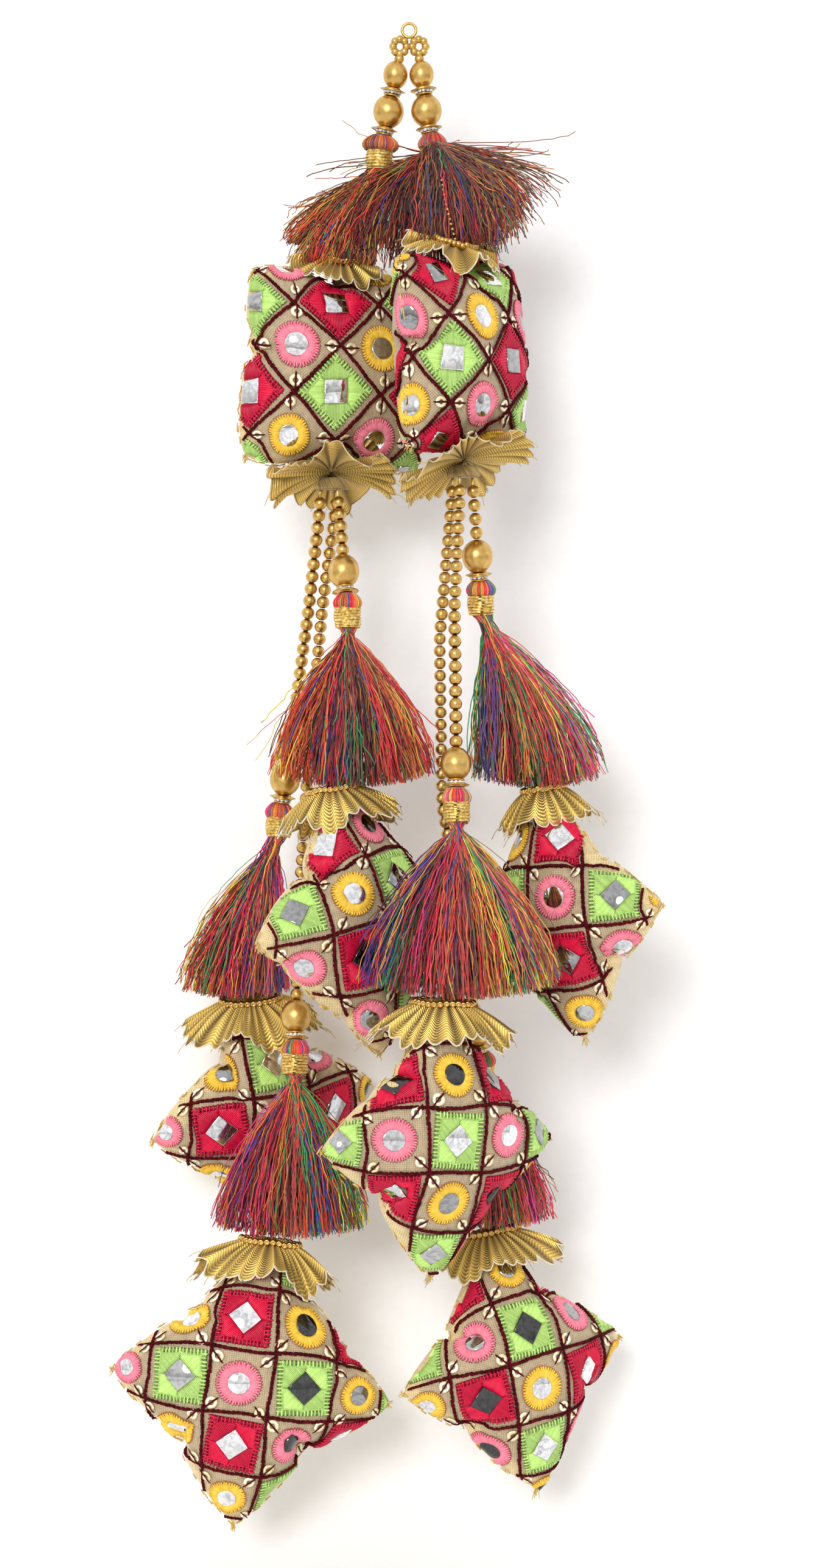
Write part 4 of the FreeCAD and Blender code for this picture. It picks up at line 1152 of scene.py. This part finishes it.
def bars(starts, ends, width, height, bow=0.0):
    """Short raised stitches from one flat point to another, as paths with five steps."""
    step = np.linspace(0, 1, 5)[None, :, None]
    path = starts[:, None] * (1 - step) + ends[:, None] * step
    lift = height + bow * np.sin(np.pi * step[..., 0])
    path = np.concatenate([path, np.broadcast_to(lift[..., None], path.shape[:2] + (1,))], -1)
    radii = width / 2 * np.array([0.55, 1, 1, 1, 0.55])
    return path, radii


class LATKAN_OT_cushions(bpy.types.Operator):
    """Stuffs the cushions and embroiders their fronts"""

    bl_idname = "latkan.cushions"
    bl_label = "Mirror-work Cushions"
    bl_options = {"REGISTER", "UNDO"}

    def execute(self, context):
        scene = context.scene
        self.sizes, self.colours = scene.latkan_sizes, scene.latkan_colours
        for number, (name, plan) in enumerate(CUSHIONS.items()):
            cushion = Cushion(name, 900 + number)
            self.cloth(cushion)
            self.embroider(cushion, plan, np.random.default_rng(5200 + number))
        return {"FINISHED"}

    def cloth(self, cushion):
        side = np.linspace(-1, 1, GRID + 1)
        s, t = np.meshgrid(side, side, indexing="ij")
        flat = np.stack([(s - t) / 2, (s + t) / 2], -1) * cushion.reach
        edge = (1 - np.maximum(np.abs(s), np.abs(t)))[..., None] * cushion.reach / math.sqrt(2)
        net, tissue = (np.array(colour)[:3] for colour in (self.colours.net, self.colours.tissue))
        band = np.clip((edge - 3.0) / 2.5, 0, 1) if not cushion.lap else np.ones_like(edge)
        shade = tissue * (1 - band) + net * band
        heap = Heap()
        index = np.arange((GRID + 1) ** 2).reshape(GRID + 1, GRID + 1)
        quads = np.stack([index[:-1, :-1], index[1:, :-1], index[1:, 1:], index[:-1, 1:]], -1).reshape(-1, 4)
        turn = np.cross(cushion.front[1, 0] - cushion.front[0, 0], cushion.front[0, 1] - cushion.front[0, 0])
        if turn.dot(cushion.out) < 0:
            quads = quads[:, ::-1]
        under = index.copy()
        inner = index[1:-1, 1:-1]
        under[1:-1, 1:-1] = index.size + np.arange(inner.size).reshape(inner.shape)
        below = np.stack([under[:-1, :-1], under[1:, :-1], under[1:, 1:], under[:-1, 1:]], -1).reshape(-1, 4)
        if turn.dot(cushion.out) >= 0:
            below = below[:, ::-1]
        points = np.concatenate([cushion.front.reshape(-1, 3), cushion.back[1:-1, 1:-1].reshape(-1, 3)])
        plain = np.broadcast_to(net if cushion.lap else tissue, (inner.size, 3))
        heap.add(points, np.concatenate([quads, below]), shade=np.concatenate([shade.reshape(-1, 3), plain]),
                 flat=np.concatenate([flat.reshape(-1, 2), flat[1:-1, 1:-1].reshape(-1, 2)]) / 100)
        piece = heap.make("Stuffed_" + cushion.name, ["tissue"])
        finer = piece.modifiers.new("Finer", "SUBSURF")
        finer.levels = finer.render_levels = 1
        finer.uv_smooth = "PRESERVE_BOUNDARIES"
        with bpy.context.temp_override(object=piece, active_object=piece, selected_objects=[piece]):
            bpy.ops.object.modifier_apply(modifier="Finer")
        settle(piece, body_of(cushion.name + "_cushion"), "cushion_cloth", cushion.name + "_cushion")

    def embroider(self, cushion, plan, luck):
        heap = Heap()
        pitch = self.sizes.motif_pitch * 1000
        angle = math.radians(plan["turn"])
        grid = np.array([[math.cos(angle), math.sin(angle)], [-math.sin(angle), math.cos(angle)]])
        shift = np.array(plan["shift"], float)

        def put(path, radii, sides, shade, slot, margin=1.5):
            """Lays stitches whose middle is inside the seam."""
            middle = path[:, path.shape[1] // 2]
            keep = cushion.inside(middle, margin)
            if not keep.any():
                return
            radii = np.broadcast_to(radii, path.shape[:2])[keep]
            shade = np.broadcast_to(shade, (len(path), 3))[keep]
            points, faces = strands(path[keep], radii, sides)
            heap.add(cushion.wrap(points), faces, shade=np.repeat(shade, path.shape[1] * sides, axis=0),
                     slot=slot)

        # Places that aren't named follow the lattice: squares and rings take turns, and so do their colours.
        first = plan["motifs"][0, 0]
        for right, up in [(right, up) for up in range(-3, 4) for right in range(-3, 4)]:
            row, square = (up + (first in "YC")) % 2, (right + up + (first in "CL")) % 2
            kind = plan["motifs"].get((right, up), "LC"[row] if square else "PY"[row])
            centre = shift + (np.array([right, up]) * pitch + luck.normal(0, 0.35, 2)) @ grid
            if not cushion.inside(centre, -5.0):
                continue
            tilt = angle + luck.normal(0, 0.05)
            own = np.array([[math.cos(tilt), math.sin(tilt)], [-math.sin(tilt), math.cos(tilt)]])
            if kind in "CL":
                self.square(put, heap, cushion, centre, own, kind, luck)
            else:
                self.ring(put, heap, cushion, centre, own, kind, luck)
        self.lattice(put, shift, grid, pitch, luck)
        self.corners(heap, cushion, luck)
        piece = heap.make("Embroidery_" + cushion.name, ["satin", "mirror", "sequin", "cotton"])
        settle(piece, body_of(cushion.name + "_cushion"), "silk_thread")

    # Painted reflection: each mirror's brightness stands for what it reflects, white, grey or nearly black,
    # picked at random.
    def mirror_tone(self, luck):
        tone = luck.choice([0.95, 0.9, 0.6, 0.42, 0.1, 0.75])
        return np.array([1.0, 1.0, 1.02]) * tone

    def square(self, put, heap, cushion, centre, own, kind, luck):
        """A satin square in four sectors round a mirror set as a diamond, with a blanket-stitched edge."""
        base = np.array(self.colours.crimson if kind == "C" else self.colours.lime)[:3]
        half = self.sizes.square_side * 500
        inner = half - 1.1
        mirror = 5.0
        for sector in range(4):
            turn = math.pi / 4 + sector * math.pi / 2
            ahead = np.array([math.cos(turn), math.sin(turn)])
            beside = np.array([-ahead[1], ahead[0]])
            offset = np.arange(-inner * 0.7, inner * 0.7, 0.46)
            near = np.maximum(mirror / math.sqrt(2) - 0.3, np.abs(offset))
            far = inner * math.sqrt(2) - np.abs(offset)
            keep = far - near > 0.4
            starts = ahead * near[keep, None] + beside * offset[keep, None]
            ends = ahead * far[keep, None] + beside * offset[keep, None]
            # Painted sheen: two opposite sectors lighter, the other two darker.
            gloss = 1.12 if sector % 2 == 0 else 0.84
            path, radii = bars(starts @ own + centre, ends @ own + centre, 0.62, 0.18, 0.3)
            put(path, radii, 4, np.clip(base * gloss * luck.uniform(0.88, 1.12, (len(path), 1)), 0, 1), 0)
        # The blanket stitch: a sunken bed, darkened with painted shade, under spaced teeth, with a corded
        # inner edge.
        pitch = 1.12
        places = np.arange(-half + 0.5, half - 0.3, pitch)
        for edge in range(4):
            turn = edge * math.pi / 2
            ahead = np.array([math.cos(turn), math.sin(turn)])
            beside = np.array([-ahead[1], ahead[0]])
            run = np.linspace(-half + 0.3, half - 0.3, 7)
            for out, width, tone, lift in ((half - 0.75, 1.5, 0.34, 0.12), (half - 1.85, 0.6, 0.8, 0.5)):
                starts = ahead * out + beside * run[:-1, None]
                ends = ahead * out + beside * run[1:, None]
                path, radii = bars(starts @ own + centre, ends @ own + centre, width, lift)
                put(path, width / 2, 4, base * tone, 0)
            jitter = luck.normal(0, 0.1, (len(places), 1))
            starts = ahead * (half - 1.9 + jitter) + beside * places[:, None]
            ends = ahead * (half + 0.15 + jitter) + beside * (places[:, None]
                                                              + luck.normal(0, 0.1, (len(places), 1)))
            path, radii = bars(starts @ own + centre, ends @ own + centre, 0.66, 0.55, 0.25)
            put(path, radii * np.array([0.9, 0.9, 0.9, 1.1, 1.4]), 4,
                np.clip(base * luck.uniform(0.75, 1.1, (len(path), 1)), 0, 1), 0)
        corners = np.array([[mirror, 0], [0, mirror], [-mirror, 0], [0, -mirror]]) @ own + centre
        self.plate(heap, cushion, corners, 0.62, 1, self.mirror_tone(luck))

    def ring(self, put, heap, cushion, centre, own, kind, luck):
        """A satin ring round a mirror, whipped round its edge with a darker thread."""
        base = np.array(self.colours.pink if kind == "P" else self.colours.yellow)[:3]
        dark = np.array(srgb("#C22048" if kind == "P" else "#C8661C"))[:3]
        outer, inner = self.sizes.ring_radius * 1000, self.sizes.mirror_radius * 1000
        count = 72
        turn = 2 * np.pi * np.arange(count) / count
        out = np.stack([np.cos(turn), np.sin(turn)], -1)
        slant = np.stack([np.cos(turn + 0.12), np.sin(turn + 0.12)], -1)
        squash = np.array([1.0, luck.uniform(0.93, 1.0)])
        path, radii = bars((out * (inner - 0.35)) * squash @ own + centre,
                           (slant * (outer - 0.4)) * squash @ own + centre, 0.56, 0.25, 0.5)
        put(path, radii, 4, np.clip(base * luck.uniform(0.86, 1.14, (count, 1)), 0, 1), 0)
        count = 46
        turn = 2 * np.pi * (np.arange(count) + luck.random(count) * 0.3) / count
        out = np.stack([np.cos(turn), np.sin(turn)], -1)
        slant = np.stack([np.cos(turn + 0.10), np.sin(turn + 0.10)], -1)
        path, radii = bars((out * (outer - 1.1)) * squash @ own + centre,
                           (slant * (outer + 0.35)) * squash @ own + centre, 0.5, 0.2, 0.25)
        put(path, radii, 4, dark * luck.uniform(0.75, 1.2, (count, 1)), 0)
        between = turn + np.pi / count
        out = np.stack([np.cos(between), np.sin(between)], -1)
        path, radii = bars((out * (outer - 1.3)) * squash @ own + centre,
                           (out * (outer + 0.05)) * squash @ own + centre, 0.62, 0.45, 0.25)
        put(path, radii * np.array([1, 1, 1, 1.1, 1.3]), 4,
            np.clip(base * luck.uniform(0.8, 1.1, (count, 1)), 0, 1), 0)
        turn = 2 * np.pi * np.arange(16) / 16
        face = np.stack([np.cos(turn), np.sin(turn)], -1) * inner * squash
        self.plate(heap, cushion, face @ own + centre, 0.5, 1, self.mirror_tone(luck))
        for corner in ((1, 1), (1, -1), (-1, -1), (-1, 1)):
            spot = (np.array(corner) * 7.3 + luck.normal(0, 0.3, 2)) @ own + centre
            if cushion.inside(spot, 4.5):
                self.sequin(put, heap, cushion, spot, np.array(corner) @ own / math.sqrt(2), luck)

    def plate(self, heap, cushion, outline, height, slot, shade):
        """A thin flat piece of glass with a bevelled edge, set level on the curved cloth."""
        count = len(outline)
        middle = outline.mean(axis=0)
        if not cushion.inside(middle, 0.5):
            return
        # What lies past the seam is drawn in towards the middle, as the seam cuts it off.
        for _ in range(16):
            outside = ~cushion.inside(outline, 1.2)
            outline = np.where(outside[:, None], middle + (outline - middle) * 0.92, outline)
        rims = []
        for grow, lift in ((1.0, 0.05), (1.0, height), (0.93, height + 0.14)):
            rims.append(np.column_stack([middle + (outline - middle) * grow, np.full(count, lift)]))
        flat = np.concatenate(rims + [[[middle[0], middle[1], height + 0.14]]])
        points = cushion.wrap(flat)
        seat = points[count:2 * count]
        plane_middle = seat.mean(axis=0)
        _, _, axes = np.linalg.svd(seat - plane_middle)
        normal = axes[2] * (1 if axes[2] @ cushion.out > 0 else -1)
        lift = ((seat - plane_middle) @ normal).max() * 0.5
        level = points - np.outer((points - plane_middle) @ normal - lift, normal)
        points[count:2 * count] = level[count:2 * count]
        points[2 * count:] = level[2 * count:] + normal * 0.14
        faces = []
        for step in range(count):
            following = (step + 1) % count
            faces.append([step, following, count + following, count + step])
            faces.append([count + step, count + following, 2 * count + following, 2 * count + step])
            faces.append([2 * count + step, 2 * count + following, 3 * count, -1])
        heap.add(points, faces, shade=shade, slot=slot)

    def sequin(self, put, heap, cushion, spot, away, luck):
        """A flat ring of foil held down by one maroon stitch."""
        outer = self.sizes.sequin_radius * 1000 * luck.uniform(0.9, 1.08)
        turn = 2 * np.pi * np.arange(14) / 14
        out = np.stack([np.cos(turn), np.sin(turn)], -1)
        flat = []
        for radius, lift in ((outer, 0.5), (outer, 0.95), (outer * 0.42, 1.05), (outer * 0.42, 0.5)):
            flat.append(np.column_stack([spot + out * radius, np.full(14, lift)]))
        points = cushion.wrap(np.concatenate(flat))
        index = np.arange(56).reshape(4, 14)
        high = np.roll(index, -1, axis=0)
        faces = np.stack([index, np.roll(index, -1, 1), np.roll(high, -1, 1), high], -1).reshape(-1, 4)
        heap.add(points, faces, slot=2)
        maroon = np.array(self.colours.maroon)[:3]
        starts = np.array([spot - away * 2.6, spot - away * 0.2])
        ends = np.array([spot + away * 0.2, spot + away * 2.9])
        path, radii = bars(starts, ends, 0.55, 1.0, 0.3)
        put(path, radii, 4, maroon, 3)

    def lattice(self, put, shift, grid, pitch, luck):
        """Chain-stitched lines between the motifs: short plump links laid in a slightly wavering row."""
        maroon = np.array(self.colours.maroon)[:3]
        for direction in range(2):
            for line in np.arange(-3.5, 4.5):
                along = np.arange(-3.6 * pitch, 3.6 * pitch, 1.5)
                waver = 0.35 * np.sin(along / 5.5 + luck.random() * 6) + luck.normal(0, 0.08, len(along))
                offset = line * pitch + waver
                tail = np.stack([along - 1.2, offset - 0.28], -1)
                tip = np.stack([along + 1.2, offset + 0.28], -1)
                for sign in (1, -1):
                    a, b = tail * np.array([1, 1]), tip * np.array([1, 1])
                    a, b = a + [0, 0.28 * (1 - sign)], b - [0, 0.28 * (1 - sign)]
                    if direction:
                        a, b = a[:, ::-1], b[:, ::-1]
                    path, radii = bars(a @ grid + shift, b @ grid + shift, 0.84, 0.35 + 0.25 * (sign > 0),
                                       0.3)
                    put(path, radii, 4, maroon * luck.uniform(0.6, 1.5, (len(path), 1)), 3, margin=3.0)

    def corners(self, heap, cushion, luck):
        """Frayed yarn ends at the four corners and along the seam."""
        tissue = np.array(self.colours.tissue)[:3]
        yellow = np.array(srgb("#E2B840"))[:3]
        ring = [cushion.front[-1, -1], cushion.front[-1, 0], cushion.front[0, 0], cushion.front[0, -1]]
        for corner in ring:
            count = 16
            away = unit(corner - cushion.centre)
            out = unit(away + luck.normal(0, 0.42, (count, 3)))
            reach = luck.uniform(0.6, 2.6, (count, 1, 1))
            step = np.linspace(0, 1, 5)[None, :, None]
            path = corner - away * 1.2 + out[:, None] * reach * step
            path = path + np.array([0, 0, -0.5]) * reach * step ** 2
            shade = np.where(luck.random((count, 1)) < 0.5, tissue, yellow)
            points, faces = strands(path, 0.16, 3)
            heap.add(points, faces, shade=np.repeat(shade, 15, axis=0))
        seam = np.concatenate([cushion.front[:, 0], cushion.front[-1], cushion.front[::-1, -1],
                               cushion.front[0, ::-1]])
        away = unit(seam - cushion.centre)
        count = 110
        pick = luck.integers(0, len(seam) - 1, count)
        root = seam[pick] + (seam[pick + 1] - seam[pick]) * luck.random((count, 1))
        sideways = unit(seam[pick + 1] - seam[pick])
        step = np.linspace(-0.5, 0.5, 4)[None, :, None]
        path = root[:, None] + sideways[:, None] * step * 2.2 + (away[pick] * 0.25)[:, None]
        path = path + luck.normal(0, 0.22, (count, 1, 3))
        shade = np.where(luck.random((count, 1)) < 0.7, tissue, yellow)
        points, faces = strands(path, 0.3, 3)
        heap.add(points, faces, shade=np.repeat(shade, 12, axis=0))


# ---- Stage ----
class LATKAN_OT_stage(bpy.types.Operator):
    """Sets the pale wall and floor, the lamps and the camera"""

    bl_idname = "latkan.stage"
    bl_label = "Stage"
    bl_options = {"REGISTER", "UNDO"}

    def execute(self, context):
        scene = context.scene
        scene.view_settings.view_transform = "Standard"
        low, high = (np.array(corner) for corner in CAD_BOX)
        # Matt white paper, which shows only the soft shadow of the ornament. It is clear from behind.
        material = bpy.data.materials.new("Matt White Paper")
        material.use_nodes = True
        tree = material.node_tree
        shader = tree.nodes["Principled BSDF"]
        shader.inputs["Roughness"].default_value = 0.9
        shader.inputs["Specular IOR Level"].default_value = 0.1
        place = add_node(tree, "ShaderNodeTexCoord")
        grain = add_node(tree, "ShaderNodeTexNoise", {"Vector": place.outputs["Object"], "Scale": 300.0})
        tint = add_node(tree, "ShaderNodeValToRGB", {"Fac": grain.outputs["Fac"]})
        set_ramp(tint, [(0.3, srgb("#F7F7F8")), (0.7, srgb("#FAFAFA"))])
        tree.links.new(tint.outputs["Color"], shader.inputs["Base Color"])
        behind = add_node(tree, "ShaderNodeNewGeometry")
        clear = add_node(tree, "ShaderNodeBsdfTransparent")
        mix = add_node(tree, "ShaderNodeMixShader", {0: behind.outputs["Backfacing"], 1: shader.outputs[0],
                                                     2: clear.outputs[0]})
        tree.links.new(mix.outputs[0], tree.nodes["Material Output"].inputs["Surface"])
        MATERIALS["paper"] = material
        wall, floor = high[1] * 1000 + 9, low[2] * 1000 - 24
        heap = Heap()
        turn = np.linspace(0, math.pi / 2, 9)
        profile = [(wall, 900.0), (wall, floor + 60)]
        profile += [(wall - 60 + 60 * math.cos(step), floor + 60 - 60 * math.sin(step)) for step in turn[1:]]
        profile += [(-1900.0, floor)]
        rows = np.array([[(x, y, z) for x in (-1500.0, 1500.0)] for y, z in profile])
        index = np.arange(len(profile) * 2).reshape(-1, 2)
        faces = np.stack([index[:-1, 0], index[1:, 0], index[1:, 1], index[:-1, 1]], -1)
        heap.add(rows.reshape(-1, 3), faces)
        sweep = heap.make("Paper_Sweep", ["paper"])

        world = bpy.data.worlds.new("Soft Box")
        scene.world = world
        world.use_nodes = True
        tree = world.node_tree
        path = add_node(tree, "ShaderNodeLightPath")
        seen = add_node(tree, "ShaderNodeMath",
                        {0: path.outputs["Is Camera Ray"], 1: path.outputs["Is Glossy Ray"]},
                        operation="MAXIMUM")
        seen = add_node(tree, "ShaderNodeMath", {0: seen.outputs[0], 1: path.outputs["Is Transmission Ray"]},
                        operation="MAXIMUM")
        strength = add_node(tree, "ShaderNodeMapRange",
                            {"Value": seen.outputs[0], "To Min": 0.9, "To Max": 1.0})
        background = tree.nodes["Background"]
        # Bright overhead, dimmer below: what the gilt beads and mirrors reflect.
        sky = add_node(tree, "ShaderNodeTexCoord")
        split = add_node(tree, "ShaderNodeSeparateXYZ", {0: sky.outputs["Generated"]})
        rise = add_node(tree, "ShaderNodeMapRange",
                        {"Value": split.outputs["Z"], "From Min": -0.7, "From Max": 0.5})
        tone = add_node(tree, "ShaderNodeValToRGB", {"Fac": rise.outputs["Result"]})
        set_ramp(tone, [(0.0, srgb("#7C766E")), (0.45, srgb("#B4B0AA")), (0.75, srgb("#FFFFFF"))])
        clear_view = add_node(tree, "ShaderNodeMath", {0: path.outputs["Is Camera Ray"],
                                                       1: path.outputs["Is Transmission Ray"]},
                                                       operation="MAXIMUM")
        colour = add_node(tree, "ShaderNodeMix", {0: clear_view.outputs[0], 6: tone.outputs["Color"],
                                                  7: srgb("#FFFFFF")}, data_type="RGBA")
        tree.links.new(colour.outputs[2], background.inputs["Color"])
        tree.links.new(strength.outputs["Result"], background.inputs["Strength"])

        lamp = bpy.data.lights.new("Window", "SUN")
        lamp.energy = 1.45
        lamp.angle = math.radians(18)
        window = bpy.data.objects.new("Window", lamp)
        window.rotation_euler = Vector((0.24, 1.0, -0.30)).to_track_quat("-Z", "Y").to_euler()
        scene.collection.objects.link(window)

        lens = bpy.data.cameras.new("Camera")
        lens.lens = 100
        lens.clip_end = 20
        camera = bpy.data.objects.new("Camera", lens)
        camera.location = (0.0003, -1.431, -0.2476)
        camera.rotation_euler = (math.pi / 2, 0, 0)
        scene.collection.objects.link(camera)
        scene.camera = camera
        return {"FINISHED"}


# ---- Panel and registration ----
STEPS = (LATKAN_OT_stage, LATKAN_OT_beads, LATKAN_OT_tassels, LATKAN_OT_rosettes, LATKAN_OT_cushions)


class LATKAN_PT_panel(bpy.types.Panel):
    """Lists the sizes, the colours and the steps"""

    bl_idname = "LATKAN_PT_panel"
    bl_label = "Latkan Pair"
    bl_space_type = "VIEW_3D"
    bl_region_type = "UI"
    bl_category = "Latkan"

    def draw(self, context):
        for group in (context.scene.latkan_sizes, context.scene.latkan_colours):
            column = self.layout.column()
            for name in group.__annotations__:
                column.prop(group, name)
        for step in STEPS:
            self.layout.operator(step.bl_idname)


CLASSES = (LatkanSizes, LatkanColours) + STEPS + (LATKAN_PT_panel,)


def register():
    for item in CLASSES:
        bpy.utils.register_class(item)
    bpy.types.Scene.latkan_sizes = bpy.props.PointerProperty(type=LatkanSizes)
    bpy.types.Scene.latkan_colours = bpy.props.PointerProperty(type=LatkanColours)


def unregister():
    del bpy.types.Scene.latkan_colours
    del bpy.types.Scene.latkan_sizes
    for item in reversed(CLASSES):
        bpy.utils.unregister_class(item)


def main():
    register()
    make_materials(bpy.context.scene.latkan_colours)
    for step in STEPS:
        group, name = step.bl_idname.split(".")
        getattr(getattr(bpy.ops, group), name)()


if __name__ == "__main__":
    main()
